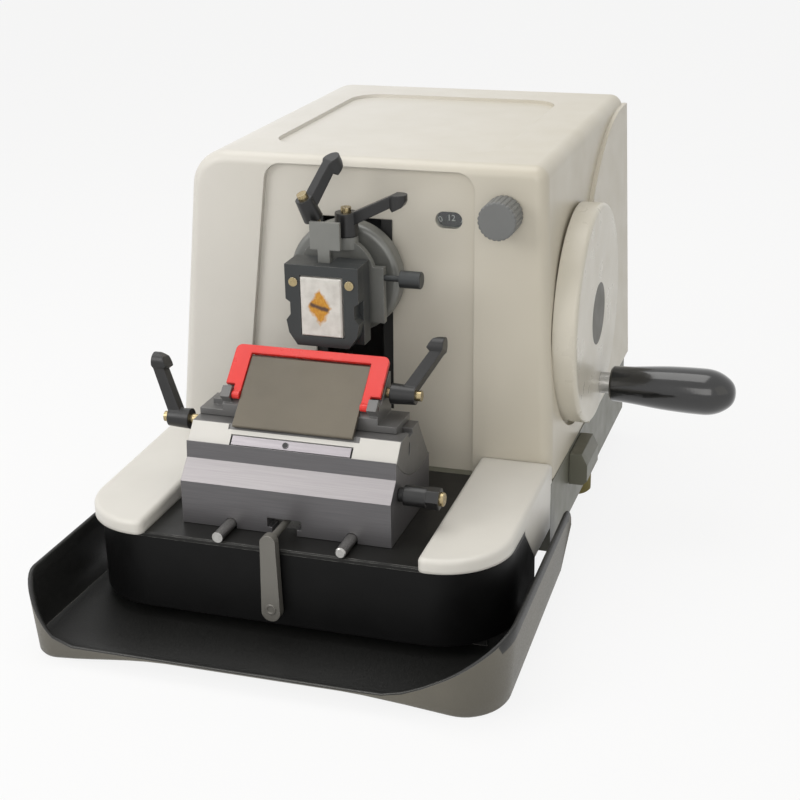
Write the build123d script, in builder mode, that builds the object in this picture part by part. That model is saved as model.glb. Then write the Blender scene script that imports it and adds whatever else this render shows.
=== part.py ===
from build123d import *
import os
from math import atan2, cos, degrees, pi, radians, sin, sqrt

os.makedirs("parts", exist_ok=True)

# Driving dimensions, in millimetres. x runs to the operator's right, y away from the operator and z up.
# x is measured from the cutting plane's centre, y from the foot of the housing's front wall.

# Housing: a drafted, moulded shell, open at the bottom
housing_top = 282.0
housing_foot = 72.0
housing_depth = 272.0
housing_left_foot = 132.0
housing_left_top = 112.0
housing_right_foot = 138.5
housing_right_top = 130.5
housing_wall = 4.5
front_lean = 7.0
front_edge_radius = 8.0
rear_edge_radius = 6.0
crown_radius_left = 26.0
crown_radius_right = 9.0
recess_left_foot = 82.0
recess_left_top = 59.0
recess_right = 84.0
recess_top = 276.0
recess_depth = 4.0
top_panel_depth = 2.5
rear_swell = 3.5
head_slot_half_width = 27.5
head_slot_bottom = 110.0
head_slot_top = 242.0
wheel_pocket_gap = 2.8
wheel_back_gap = 0.5

# Base: ribbed casting, top plate, apron and hand rests
base_half_width = 139.0
base_bottom = 22.0
toe_half_width = 124.0
toe_front = 128.0
toe_corner = 34.0
plate_thickness = 3.0
apron_front = 141.6
apron_bottom = 20.0
apron_wall = 3.5
apron_corner = 48.0
skirt_bottom = 40.0
skirt_reach = 48.0
skirt_shoulder = 76.0
rest_inner = 90.0
rest_front = 147.0
rest_corner = 43.0
rest_inner_corner = 5.0
rest_height_rear = 13.0
rest_height_front = 8.5
rest_wall = 5.0
rest_edge_radius = 3.0
rib_pitch = 52.0
rib_pocket = 42.0
deck_cast_thickness = 12.0
foot_radius = 13.0
foot_pad_height = 14.0
foot_rear_x = 124.0
foot_rear_y = 150.0
foot_front_x = 108.0
foot_front_y = 95.0

# Brake lever on the right side of the base
brake_rear = 95.0
brake_front = 55.0
brake_z = 58.5
brake_pin_y = 86.0
brake_pin_radius = 4.0
brake_pin_depth = 10.0

# Waste tray in front of the base
tray_side_gap = 18.0
tray_front = 198.3
tray_reach = 193.5
tray_rear = 50.0
tray_wall = 3.0
tray_floor = 4.0
tray_side_height = 76.0
tray_lip_height = 13.0
tray_corner = 46.0
tray_flare = 9.0
tray_under = 7.0
tray_notch_inset = 14.0
tray_notch_front = 114.0
tray_throat_gap = 2.0

# Drive: handwheel, shaft, crank and grip
shaft_y = 88.3
shaft_z = 163.2
shaft_radius = 9.0
wheel_radius = 76.2
wheel_face = 150.7
wheel_back = 134.4
wheel_web = 6.0
wheel_rim = 10.0
wheel_hub_radius = 21.7
crank_throw = 30.0
crank_angle = 30.0
crank_disc_radius = 42.0
crank_disc_width = 10.0
crank_disc_face = 52.0
crank_pin_radius = 5.0
handle_reach = 58.5
handle_angle = -74.8
grip_start = 158.5
grip_end = 246.0
grip_root_radius = 12.5
grip_belly_radius = 16.4
spindle_radius = 5.0

# Inner frame, guides, vertical slide and horizontal feed
frame_wall_x = 66.0
frame_wall = 12.0
frame_flange = 12.0
frame_rear = 190.0
boss_radius = 22.0
boss_end = 120.0
bearing_radius = 18.0
bearing_width = 12.0
guide_back = 67.0
guide_depth = 12.0
guide_width = 10.0
guide_inner = 24.0
guide_top = 270.0
head_z = 206.0
carriage_half_width = 38.0
carriage_front = 34.0
carriage_half_height = 30.0
yoke_thickness = 8.0
neck_radius = 20.0
flange_radius = 24.0
flange_front = -16.0
cylinder_rear = 56.0
feed_back = 3.0
feed_screw_radius = 5.0
feed_screw_rear = 64.0
ratchet_radius = 15.0
ratchet_teeth = 36
coarse_wheel_radius = 28.0
coarse_wheel_width = 16.0
coarse_wheel_y = 108.0
coarse_wheel_z = 150.0

# Specimen head: disc, swivelling block and cassette clamp
disc_radius = 38.0
disc_front = -10.0
disc_rear = 2.0
block_face = -53.6
block_width = 27.5
block_height = 38.4
block_z = 199.2
clamp_front = -52.0
clamp_split = -42.0
clamp_half_width = 24.5
clamp_top = 226.0
clamp_bottom = 172.6
pivot_y = -38.0
swivel_front = -24.0
swivel_rear = -19.0
swivel_half_width = 32.0
swivel_bottom = 182.0
swivel_top = 227.0
arch_radius = 26.0
stud_radius = 2.2
swivel_stud_x = 6.5
clamp_rear = -30.0
clamp_notch_top = 203.0
clamp_notch_bottom = 192.0
clamp_screw_x = 18.8
clamp_screw_z = 214.6
release_y = -41.7
release_z = 221.0
release_left = -5.0
release_right = 3.0
release_head_left = -10.0
release_head_right = 10.0
release_head_z = 234.0
release_top = 251.8

# Thickness setting: knob, gear pair and dial behind the window
knob_x = 103.7
knob_z = 251.3
knob_radius = 12.5
knob_face = -14.0
knob_shaft_radius = 5.0
gear_module = 1.5
gear_width = 4.0
pinion_teeth = 24
dial_teeth = 40
dial_x = 66.0
window_width = 18.0
window_height = 11.0
window_z = 244.0

# Knife base, arc segment and blade holder
knife_left = -72.5
knife_right = 66.5
knife_front = -122.0
knife_back = -42.0
knife_chamfer_foot = 102.0
knife_chamfer_top = 112.5
edge_y = -60.0
edge_z = 165.5
arc_radius = 65.0
arc_front = -108.0
segment_top = 133.0
bevel_foot = 121.5
segment_top_front = -97.8
segment_top_rear = -63.0
tee_x = -3.4
tee_slot_width = 22.8
tee_slot_bottom = 76.3
tee_slot_top = 82.6
tee_neck = 16.5
guide_rod_radius = 3.5
guide_rod_x = 0.7
guide_rod_pitch = 80.4
strip_left = -43.0
strip_right = 36.0
strip_centre = 11.0
strip_width = 6.0
strip_screw_x = -7.0
holder_x = -4.2
holder_bar_left = -72.0
rib_y = -80.0
rib_width = 8.0
rib_depth = 3.0
rib_inset = 8.0
holder_bar_right = 60.0
holder_block_half = 52.0
holder_bar_top = 137.5
holder_front = -88.0
plate_foot_y = -102.2
plate_foot_z = 133.2
plate_slope = 41.6
plate_length = 52.1
plate_half_width = 40.0
pressure_plate_thickness = 2.5
blade_thickness = 0.3
guard_half_width = 51.7
guard_bar = 5.6
guard_leg = 28.7
guard_prong = 36.0
guard_prong_width = 5.0
guard_thickness = 2.5
guard_height = 1.2
guard_gap = 0.3

# Clearances: between bodies that pass each other, and round a shaft in its bore
slip = 0.3
running = 0.05

tray_half_width = base_half_width + tray_side_gap
tray_notch_half = base_half_width - tray_notch_inset
tray_throat_half = base_half_width + tray_throat_gap

# Row frame: the origin is at the centre of the whole object's footprint, on the bench
cut_x = -(grip_end - tray_half_width) / 2
wall_y = -(housing_depth - tray_reach) / 2


def level(z):
    """Horizontal work plane at a height above the bench."""
    return Plane(origin=(cut_x, wall_y, z))


def facing(y):
    """Upright work plane that faces the operator, at a distance behind the front wall."""
    return Plane(origin=(cut_x, wall_y + y, 0), x_dir=(1, 0, 0), z_dir=(0, -1, 0))


def across(x):
    """Upright work plane across the machine, with y along its first axis and z along its second."""
    return Plane(origin=(cut_x + x, wall_y, 0), x_dir=(0, 1, 0), z_dir=(1, 0, 0))


def place(x, y, z):
    """A point of the machine in the row's frame."""
    return Vector(cut_x + x, wall_y + y, z)


def span(x0, x1, y0, y1):
    """Rectangle between two pairs of limits, in the open sketch."""
    with Locations(((x0 + x1) / 2, (y0 + y1) / 2)):
        Rectangle(x1 - x0, y1 - y0)


def disc(x, y, radius, mode=Mode.ADD):
    """Circle at a point of the open sketch."""
    with Locations((x, y)):
        Circle(radius, mode=mode)


def panel(*points):
    """Straight-sided face through the points, in the open sketch."""
    Polygon(*points, align=None)


def on_slope(along, above):
    """y and z of a point at a distance up the pressure plate's front face and above that face."""
    rise = radians(plate_slope)
    return (plate_foot_y + along * cos(rise) - above * sin(rise),
            plate_foot_z + along * sin(rise) + above * cos(rise))


def keep(piece, name):
    """Label a finished piece and write its STEP file."""
    piece.part.label = name
    export_step(piece.part, "parts/" + name + ".step")


# Base casting: heavy cast iron, cored from below into square cells
deck = housing_foot - plate_thickness
foot_places = [(-foot_rear_x, foot_rear_y), (foot_rear_x, foot_rear_y), (-foot_front_x, -foot_front_y),
               (foot_front_x, -foot_front_y)]
with BuildPart() as base_casting:
    with BuildSketch(level(base_bottom)):
        span(-base_half_width, base_half_width, -3, housing_depth)
    extrude(amount=housing_foot - base_bottom)
    with BuildSketch(level(base_bottom)):
        span(-toe_half_width, toe_half_width, -toe_front, -3)
        fillet(vertices().group_by(Axis.Y)[0], toe_corner)
    extrude(amount=deck - base_bottom)
    with BuildSketch(level(base_bottom)):
        with Locations((0, housing_depth / 2)):
            with GridLocations(rib_pitch, rib_pitch, 5, 5):
                Rectangle(rib_pocket, rib_pocket)
        with Locations((0, -toe_front / 2)):
            with GridLocations(rib_pitch, rib_pitch, 4, 2):
                Rectangle(rib_pocket, rib_pocket)
    extrude(amount=deck - base_bottom - deck_cast_thickness, mode=Mode.SUBTRACT)
    with BuildSketch(level(base_bottom)):
        with Locations(*foot_places):
            Rectangle(2 * foot_radius, 2 * foot_radius)
    extrude(amount=deck - base_bottom - deck_cast_thickness)
    with BuildSketch(across(base_half_width - brake_pin_depth - slip)):
        disc(brake_pin_y, brake_z, brake_pin_radius + running)
    extrude(amount=brake_pin_depth + 5, mode=Mode.SUBTRACT)
keep(base_casting, "base_casting")

# Levelling feet: a rubber pad under a short stem
with BuildPart() as feet:
    with BuildSketch(level(0)):
        with Locations(*foot_places):
            Circle(foot_radius)
    extrude(amount=foot_pad_height)
    chamfer(edges().group_by(Axis.Z)[0], 1.5)
    with BuildSketch(level(foot_pad_height)):
        with Locations(*foot_places):
            Circle(foot_radius / 2)
    extrude(amount=base_bottom - foot_pad_height)
keep(feet, "feet")

# Top plate of the base: black, with large front corners and a notch for each hand rest's skirt
skirt_inner = base_half_width - rest_wall
with BuildPart() as base_top_plate:
    with BuildSketch(level(deck)):
        span(-base_half_width, base_half_width, -apron_front, -skirt_shoulder)
        fillet(vertices().group_by(Axis.Y)[0], apron_corner)
        span(-skirt_inner + slip, skirt_inner - slip, -skirt_shoulder, -3)
    extrude(amount=plate_thickness)
    chamfer(faces().sort_by(Axis.Z)[-1].edges().group_by(Axis.Y)[0], 0.8)
keep(base_top_plate, "base_top_plate")

# Front apron: a black wall round the toe of the base, cut back on a slant at each side
apron_inner = base_half_width - apron_wall
with BuildPart() as front_apron:
    with BuildSketch(level(apron_bottom)):
        span(-base_half_width, base_half_width, -apron_front, 0)
        fillet(vertices().group_by(Axis.Y)[0], apron_corner)
        span(-apron_inner, apron_inner, -apron_front + 2 * apron_corner, 0)
    extrude(amount=deck - apron_bottom)
    with BuildSketch(level(apron_bottom)):
        span(-apron_inner, apron_inner, -apron_front + apron_wall, 10)
        fillet(vertices().group_by(Axis.Y)[0], apron_corner - apron_wall)
    extrude(amount=deck - apron_bottom, mode=Mode.SUBTRACT)
    with BuildSketch(across(-base_half_width - 5)):
        panel((-skirt_shoulder, deck + 1), (-skirt_shoulder, deck), (-skirt_reach, skirt_bottom),
              (-skirt_reach, 10), (10, 10), (10, deck + 1))
    extrude(amount=2 * base_half_width + 10, mode=Mode.SUBTRACT)
keep(front_apron, "front_apron")

# Hand rests: white arm rests beside the knife, with a side skirt that meets the apron on a slant
rest_top = housing_foot + rest_height_rear
with BuildPart() as handrest_right:
    with BuildSketch(level(housing_foot)):
        span(rest_inner, base_half_width, -rest_front, -slip)
        fillet(vertices().group_by(Axis.Y)[0].sort_by(Axis.X)[-1],
               min(rest_corner, base_half_width - rest_inner - rest_inner_corner - 1))
        fillet(vertices().group_by(Axis.Y)[0].sort_by(Axis.X)[0], rest_inner_corner)
    extrude(amount=rest_height_rear)
    with BuildSketch(across(rest_inner - 5)):
        panel((-rest_front - 5, rest_top + 5), (5, rest_top + 5), (5, rest_top), (0, rest_top),
              (-rest_front - 5, housing_foot + rest_height_front))
    extrude(amount=base_half_width - rest_inner + 10, mode=Mode.SUBTRACT)
    fillet(faces().sort_by(Axis.Z)[-1].edges().sort_by(Axis.Y)[:-1], rest_edge_radius)
    with BuildSketch(across(skirt_inner)):
        panel((-3 - slip, housing_foot), (-3 - slip, skirt_bottom), (-skirt_reach + slip, skirt_bottom),
              (-skirt_shoulder + slip, deck), (-skirt_shoulder + slip, housing_foot))
    extrude(amount=rest_wall)
keep(handrest_right, "handrest_right")

with BuildPart() as handrest_left:
    mirror(handrest_right.part, about=Plane(origin=(cut_x, 0, 0), z_dir=(1, 0, 0)))
keep(handrest_left, "handrest_left")

# Housing cover: white shell with a leaning front, a recessed centre panel and a large left crown
front_at_foot = (0, housing_foot)
front_at_top = (front_lean, housing_top)
with BuildPart() as centre_recess:
    with BuildSketch(facing(-5)):
        panel((-recess_left_foot, housing_foot), (-recess_left_top, recess_top), (recess_right, recess_top),
              (recess_right, housing_foot))
        fillet(vertices().group_by(Axis.Y)[-1], 12)
    extrude(amount=-30)
    with BuildSketch(across(-100)):
        panel((-10, housing_foot), (recess_depth, housing_foot), (front_lean + recess_depth, housing_top),
              (-10, housing_top))
    extrude(amount=200, mode=Mode.INTERSECT)

with BuildPart() as rear_shoulder:
    with BuildSketch(facing(100)):
        panel((0, housing_foot), (0, housing_top - 7), (housing_right_top + rear_swell, housing_top - 7),
              (housing_right_foot + rear_swell, housing_foot))
    extrude(amount=-(housing_depth - 100))
    with BuildSketch(across(100)):
        with BuildLine():
            rise = ThreePointArc((housing_depth - 137, housing_top - 53),
                                 (housing_depth - 84, housing_top - 20),
                                 (housing_depth - 19, housing_top - 7))
            Polyline(rise @ 1, (housing_depth, housing_top - 7), (housing_depth, housing_foot),
                     (housing_depth - 162, housing_foot), (housing_depth - 162, housing_top - 82), rise @ 0)
        make_face()
    extrude(amount=60, mode=Mode.INTERSECT)

cavity_front = front_lean + recess_depth + housing_wall
with BuildPart() as housing_cover:
    with BuildSketch(facing(0)):
        panel((-housing_left_foot, housing_foot), (-housing_left_top, housing_top),
              (housing_right_top, housing_top), (housing_right_foot, housing_foot))
        fillet(vertices().group_by(Axis.Y)[-1].sort_by(Axis.X)[0], crown_radius_left)
        fillet(vertices().group_by(Axis.Y)[-1].sort_by(Axis.X)[-1], crown_radius_right)
    extrude(amount=-housing_depth)
    with BuildSketch(across(-housing_left_foot - 5)):
        panel((-10, housing_foot), front_at_foot, front_at_top, (front_lean, housing_top + 5),
              (-10, housing_top + 5))
    extrude(amount=2 * housing_left_foot + 20, mode=Mode.SUBTRACT)
    fillet(faces().sort_by(Axis.Y)[0].edges().sort_by(Axis.Z)[1:], front_edge_radius)
    fillet(faces().sort_by(Axis.Y)[-1].edges().sort_by(Axis.Z)[1:], rear_edge_radius)
    add(rear_shoulder.part)
    add(centre_recess.part, mode=Mode.SUBTRACT)
    with BuildSketch(facing(cavity_front)):
        panel((-housing_left_foot + 2 * housing_wall, housing_foot),
              (-housing_left_top + housing_wall, housing_top - housing_wall - top_panel_depth),
              (housing_right_top - housing_wall, housing_top - housing_wall - top_panel_depth),
              (housing_right_top - housing_wall, housing_foot))
        fillet(vertices().group_by(Axis.Y)[-1].sort_by(Axis.X)[0], crown_radius_left - housing_wall)
    extrude(amount=-(housing_depth - housing_wall - cavity_front), mode=Mode.SUBTRACT)
    with BuildSketch(level(housing_top - top_panel_depth)):
        with Locations((10, housing_depth / 2)):
            RectangleRounded(160, 190, 22)
    extrude(amount=10, mode=Mode.SUBTRACT)
    with BuildSketch(facing(-5)):
        span(-head_slot_half_width, head_slot_half_width, head_slot_bottom, head_slot_top)
        with Locations((dial_x, window_z)):
            SlotOverall(window_width, window_height)
        disc(knob_x, knob_z, knob_shaft_radius + running)
    extrude(amount=-25, mode=Mode.SUBTRACT)
    with BuildSketch(across(wheel_back - wheel_back_gap)):
        disc(shaft_y, shaft_z, wheel_radius + wheel_pocket_gap)
    extrude(amount=12, mode=Mode.SUBTRACT)
    with BuildSketch(across(housing_right_top - 3 * housing_wall)):
        disc(shaft_y, shaft_z, shaft_radius + 3)
    extrude(amount=30, mode=Mode.SUBTRACT)
    with BuildSketch(across(-housing_left_foot - 5)):
        disc(coarse_wheel_y, coarse_wheel_z, 6 + running)
    extrude(amount=40, mode=Mode.SUBTRACT)
keep(housing_cover, "housing_cover")

# Window lens: clear oval pane set in the housing's front
with BuildPart() as window_lens:
    with BuildSketch(facing(cavity_front - 3)):
        with Locations((dial_x, window_z)):
            SlotOverall(window_width, window_height)
    extrude(amount=1.5)
keep(window_lens, "window_lens")

# Slot seal: black lips at both sides of the head's neck
with BuildPart() as slot_seal:
    with BuildSketch(facing(cavity_front - 4)):
        span(neck_radius + slip, head_slot_half_width, head_slot_bottom, head_slot_top)
        span(-head_slot_half_width, -neck_radius - slip, head_slot_bottom, head_slot_top)
    extrude(amount=3)
keep(slot_seal, "slot_seal")

# Machine frame: flange on the base, guide wall at the front and a bored boss for the main shaft
guide_wall_half = guide_inner + guide_width + 3.5
with BuildPart() as machine_frame:
    with BuildSketch(level(housing_foot)):
        span(-guide_wall_half, frame_wall_x + frame_wall, guide_back, frame_rear)
    extrude(amount=frame_flange)
    with BuildSketch(facing(guide_back)):
        span(-guide_wall_half, guide_wall_half, housing_foot, guide_top)
    extrude(amount=-frame_wall)
    with BuildSketch(across(frame_wall_x)):
        panel((guide_back, housing_foot), (frame_rear, housing_foot),
              (frame_rear - 50, shaft_z + boss_radius + 8), (guide_back, shaft_z + boss_radius + 8))
        disc(shaft_y, shaft_z, bearing_radius, Mode.SUBTRACT)
    extrude(amount=frame_wall)
    with BuildSketch(across(frame_wall_x + frame_wall)):
        disc(shaft_y, shaft_z, boss_radius)
        disc(shaft_y, shaft_z, bearing_radius, Mode.SUBTRACT)
    extrude(amount=boss_end - frame_wall_x - frame_wall)
    with BuildSketch(facing(guide_back + frame_wall)):
        panel((-guide_wall_half, housing_foot), (-guide_wall_half + 10, housing_foot),
              (-guide_wall_half + 10, guide_top), (-guide_wall_half, guide_top))
    extrude(amount=-18)
keep(machine_frame, "machine_frame")

# Guide rails: two hardened square rails on the frame's guide wall
with BuildPart() as guide_rails:
    with BuildSketch(level(housing_foot + frame_flange)):
        for hand in (-1, 1):
            inner, outer = hand * guide_inner, hand * (guide_inner + guide_width)
            span(min(inner, outer), max(inner, outer), guide_back - guide_depth, guide_back)
    extrude(amount=guide_top - housing_foot - frame_flange)
keep(guide_rails, "guide_rails")

# Carriage: vertical slide that wraps the rails, bored for the feed cylinder
with BuildPart() as carriage:
    with BuildSketch(level(head_z - carriage_half_height)):
        span(-carriage_half_width, carriage_half_width, carriage_front, guide_back - 2)
        for hand in (-1, 1):
            with Locations((hand * (guide_inner + guide_width / 2), guide_back - guide_depth / 2)):
                Rectangle(guide_width + 2 * slip, guide_depth + 2 * slip, mode=Mode.SUBTRACT)
    extrude(amount=2 * carriage_half_height)
    with BuildSketch(facing(guide_back)):
        disc(0, head_z, neck_radius + running)
    extrude(amount=guide_back - carriage_front + 5, mode=Mode.SUBTRACT)
keep(carriage, "carriage")

# Yoke plate: carries the slot that the crank pin would drive, on the carriage's right side
pin_y = shaft_y + crank_throw * cos(radians(crank_angle))
pin_z = shaft_z + crank_throw * sin(radians(crank_angle))
yoke_inner = carriage_half_width
yoke_outer = yoke_inner + yoke_thickness
slot_length = 2 * (crank_throw + crank_pin_radius + 1)
with BuildPart() as yoke_plate:
    with BuildSketch(across(yoke_inner)):
        span(carriage_front + 4, guide_back - 6, pin_z - 14, head_z + carriage_half_height)
        span(carriage_front + 4, shaft_y + slot_length / 2 + 8, pin_z - 14, pin_z + 14)
        with Locations((shaft_y, pin_z)):
            SlotOverall(slot_length, 2 * crank_pin_radius + 2, mode=Mode.SUBTRACT)
    extrude(amount=yoke_thickness)
keep(yoke_plate, "yoke_plate")

# Shaft bearings: two ball bearings in the frame's boss, drawn as rings
with BuildPart() as shaft_bearings:
    for start in (frame_wall_x, boss_end - bearing_width):
        with BuildSketch(across(start)):
            disc(shaft_y, shaft_z, bearing_radius)
            disc(shaft_y, shaft_z, shaft_radius + running, Mode.SUBTRACT)
        extrude(amount=bearing_width)
keep(shaft_bearings, "shaft_bearings")

# Main shaft: turned steel, from the crank disc to the handwheel
with BuildPart() as main_shaft:
    with BuildSketch(across(crank_disc_face)):
        disc(shaft_y, shaft_z, shaft_radius)
    extrude(amount=wheel_face - 4 - crank_disc_face)
keep(main_shaft, "main_shaft")

# Crank disc with a counterweight opposite the pin
with BuildPart() as crank_disc:
    with BuildSketch(across(crank_disc_face)):
        disc(shaft_y, shaft_z, crank_disc_radius)
        disc(shaft_y, shaft_z, shaft_radius, Mode.SUBTRACT)
        disc(pin_y, pin_z, crank_pin_radius, Mode.SUBTRACT)
        with Locations((shaft_y, shaft_z)):
            with PolarLocations(crank_throw, 2, crank_angle - 50, 200):
                Circle(7, mode=Mode.SUBTRACT)
    extrude(amount=crank_disc_width)
keep(crank_disc, "crank_disc")

# Crank pin: it ends just short of the yoke's slot, where the linkage is opened
with BuildPart() as crank_pin:
    with BuildSketch(across(yoke_outer + slip)):
        disc(pin_y, pin_z, crank_pin_radius)
    extrude(amount=crank_disc_face + crank_disc_width - yoke_outer - slip)
keep(crank_pin, "crank_pin")

# Handwheel: flat-faced disc with a deep rim and a hub boss behind it
handle_y = shaft_y + handle_reach * cos(radians(handle_angle))
handle_z = shaft_z + handle_reach * sin(radians(handle_angle))
with BuildPart() as handwheel:
    with BuildSketch(across(wheel_back)):
        disc(shaft_y, shaft_z, wheel_radius)
    extrude(amount=wheel_face - wheel_back)
    fillet(faces().sort_by(Axis.X)[-1].edges(), 3)
    with BuildSketch(across(wheel_back)):
        disc(shaft_y, shaft_z, wheel_radius - wheel_rim)
        disc(shaft_y, shaft_z, wheel_hub_radius, Mode.SUBTRACT)
        disc(handle_y, handle_z, 11, Mode.SUBTRACT)
    extrude(amount=wheel_face - wheel_back - wheel_web, mode=Mode.SUBTRACT)
    with BuildSketch(across(wheel_back)):
        disc(shaft_y, shaft_z, shaft_radius)
        disc(handle_y, handle_z, spindle_radius)
    extrude(amount=wheel_face - wheel_back, mode=Mode.SUBTRACT)
    with BuildSketch(across(wheel_face - 4)):
        disc(shaft_y, shaft_z, wheel_hub_radius)
    extrude(amount=4, mode=Mode.SUBTRACT)
keep(handwheel, "handwheel")

# Hub cap: gray disc that closes the wheel's bore
with BuildPart() as hub_cap:
    with BuildSketch(across(wheel_face - 4)):
        disc(shaft_y, shaft_z, wheel_hub_radius)
    extrude(amount=4)
keep(hub_cap, "hub_cap")

# Handle spindle: steel, shouldered against the wheel's face
grip_bore_end = grip_end - 10
with BuildPart() as handle_spindle:
    with BuildSketch(across(wheel_back)):
        disc(handle_y, handle_z, spindle_radius)
    extrude(amount=grip_bore_end - 2 - wheel_back)
    with BuildSketch(across(wheel_face)):
        disc(handle_y, handle_z, spindle_radius + 2.5)
    extrude(amount=grip_start - slip - wheel_face)
keep(handle_spindle, "handle_spindle")

# Handle grip: turned, with a belly near the free end, running on the spindle
grip_axis = Plane(origin=place(0, handle_y, handle_z), x_dir=(1, 0, 0), z_dir=(0, -1, 0))
belly_x = grip_end - grip_belly_radius - 6
with BuildPart() as handle_grip:
    with BuildSketch(grip_axis):
        with BuildLine():
            neck = Line((grip_start, 0), (grip_start, grip_root_radius - 1.5))
            lip = Line(neck @ 1, (grip_start + 1.5, grip_root_radius))
            flank = Spline(lip @ 1,
                           ((grip_start + belly_x) / 2, (grip_root_radius + grip_belly_radius) / 2 + 0.6),
                           (belly_x, grip_belly_radius), tangents=[(1, 0.02), (1, 0)])
            Spline(flank @ 1, (belly_x + 0.72 * (grip_end - belly_x), 0.7 * grip_belly_radius),
                   (grip_end, 0), tangents=[(1, 0), (0, -1)])
            Line((grip_end, 0), neck @ 0)
        make_face()
    revolve(axis=Axis(grip_axis.origin, (1, 0, 0)))
    with BuildSketch(across(grip_start)):
        disc(handle_y, handle_z, spindle_radius + running)
    extrude(amount=grip_bore_end - grip_start, mode=Mode.SUBTRACT)
keep(handle_grip, "handle_grip")

# Feed cylinder: slides in the carriage, with the head's disc and a hollow flange for the swivelling block
roll_radius = 25.2
with BuildPart() as feed_cylinder:
    with BuildSketch(facing(cylinder_rear)):
        disc(0, head_z, neck_radius)
    extrude(amount=cylinder_rear - disc_rear)
    with BuildSketch(facing(disc_rear)):
        disc(0, head_z, disc_radius)
    extrude(amount=disc_rear - disc_front)
    fillet(faces().sort_by(Axis.Y)[0].edges(), 4)
    with BuildSketch(facing(disc_front)):
        disc(0, head_z, flange_radius)
    extrude(amount=disc_front - flange_front)
    with BuildSketch(level(head_z - flange_radius - 1)):
        disc(0, pivot_y, roll_radius + slip)
    extrude(amount=2 * flange_radius + 2, mode=Mode.SUBTRACT)
    with BuildSketch(facing(cylinder_rear)):
        disc(0, head_z, feed_screw_radius + running)
    extrude(amount=cylinder_rear - disc_rear, mode=Mode.SUBTRACT)
keep(feed_cylinder, "feed_cylinder")

# Feed spindle: leadscrew that drives the cylinder, held at the carriage's back
with BuildPart() as feed_spindle:
    with BuildSketch(facing(feed_screw_rear)):
        disc(0, head_z, feed_screw_radius)
    extrude(amount=feed_screw_rear - disc_rear - feed_back - 3)
keep(feed_spindle, "feed_spindle")

# Ratchet wheel: saw-toothed micrometer wheel on the spindle
ratchet_rear = guide_back - slip
with BuildPart() as ratchet_wheel:
    with BuildSketch(facing(ratchet_rear)):
        disc(0, head_z, ratchet_radius - 1.2)
        with Locations((0, head_z)):
            with PolarLocations(ratchet_radius - 1.3, ratchet_teeth):
                Triangle(c=2.6, a=1.4, b=2.2, align=(Align.CENTER, Align.CENTER), rotation=90)
        disc(0, head_z, feed_screw_radius, Mode.SUBTRACT)
    extrude(amount=ratchet_rear - cylinder_rear - feed_back - 1)
keep(ratchet_wheel, "ratchet_wheel")

# Coarse feed wheel: dished wheel on the left side, with its shaft in one turning
coarse_seat = -housing_left_foot + 6.2
with BuildPart() as coarse_wheel:
    with BuildSketch(across(coarse_seat - slip - 8 - coarse_wheel_width)):
        disc(coarse_wheel_y, coarse_wheel_z, coarse_wheel_radius)
    extrude(amount=coarse_wheel_width)
    fillet(faces().sort_by(Axis.X)[0].edges(), 3)
    with BuildSketch(across(coarse_seat - slip - 8)):
        disc(coarse_wheel_y, coarse_wheel_z, 11)
    extrude(amount=8)
    with BuildSketch(across(coarse_seat - slip)):
        disc(coarse_wheel_y, coarse_wheel_z, 6)
    extrude(amount=28)
keep(coarse_wheel, "coarse_wheel")


# Swivelling block: arch and wings in front, and a back that rolls in the flange's groove
swivel_crown = swivel_top - 15 + arch_radius
clamp_seat = Plane(origin=place(-11.9, -30.2, 250.7), x_dir=(20.3, 23.8, 15.0),
                   z_dir=(-0.266, -0.339, 0.902))
swivel_seat = Plane(origin=place(swivel_stud_x, -20, swivel_crown + slip), x_dir=(1, 0, 0), z_dir=(0, 0, 1))
knob_side_z = 212.0
knob_side_y = (swivel_front + swivel_rear) / 2
with BuildPart() as swivel_block:
    with BuildSketch(level(head_z - flange_radius + 2)):
        disc(0, pivot_y, roll_radius)
        with Locations((0, swivel_front - 30)):
            Rectangle(120, 60, mode=Mode.SUBTRACT)
    extrude(amount=2 * flange_radius - 4)
    with BuildSketch(facing(swivel_rear)):
        disc(0, swivel_top - 15, arch_radius)
        span(-arch_radius, arch_radius, swivel_bottom, swivel_top - 15)
        span(-swivel_half_width, swivel_half_width, swivel_bottom, swivel_top - 8)
    extrude(amount=swivel_rear - swivel_front)
    with BuildSketch(level(swivel_crown - 8)):
        disc(swivel_stud_x, -20, 7.5)
    extrude(amount=8)
    with BuildSketch(clamp_seat.offset(-28)):
        Circle(4.5)
    extrude(amount=12)
    with BuildSketch(clamp_seat.offset(-30)):
        Circle(stud_radius + running)
    extrude(amount=30, mode=Mode.SUBTRACT)
    with BuildSketch(level(swivel_crown - 10)):
        disc(swivel_stud_x, -20, stud_radius + running)
    extrude(amount=20, mode=Mode.SUBTRACT)
    with BuildSketch(across(swivel_half_width - 10)):
        disc(knob_side_y, knob_side_z, 2 + running)
    extrude(amount=12, mode=Mode.SUBTRACT)
keep(swivel_block, "swivel_block")

# Side knob: knurled thumb screw on the block's right wing
with BuildPart() as side_knob:
    with BuildSketch(across(swivel_half_width - 9)):
        disc(knob_side_y, knob_side_z, 2)
    extrude(amount=20)
    with BuildSketch(across(swivel_half_width + 11)):
        disc(knob_side_y, knob_side_z, 5.6)
    extrude(amount=14)
    chamfer(faces().sort_by(Axis.X)[-1].edges(), 0.6)
keep(side_knob, "side_knob")

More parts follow.
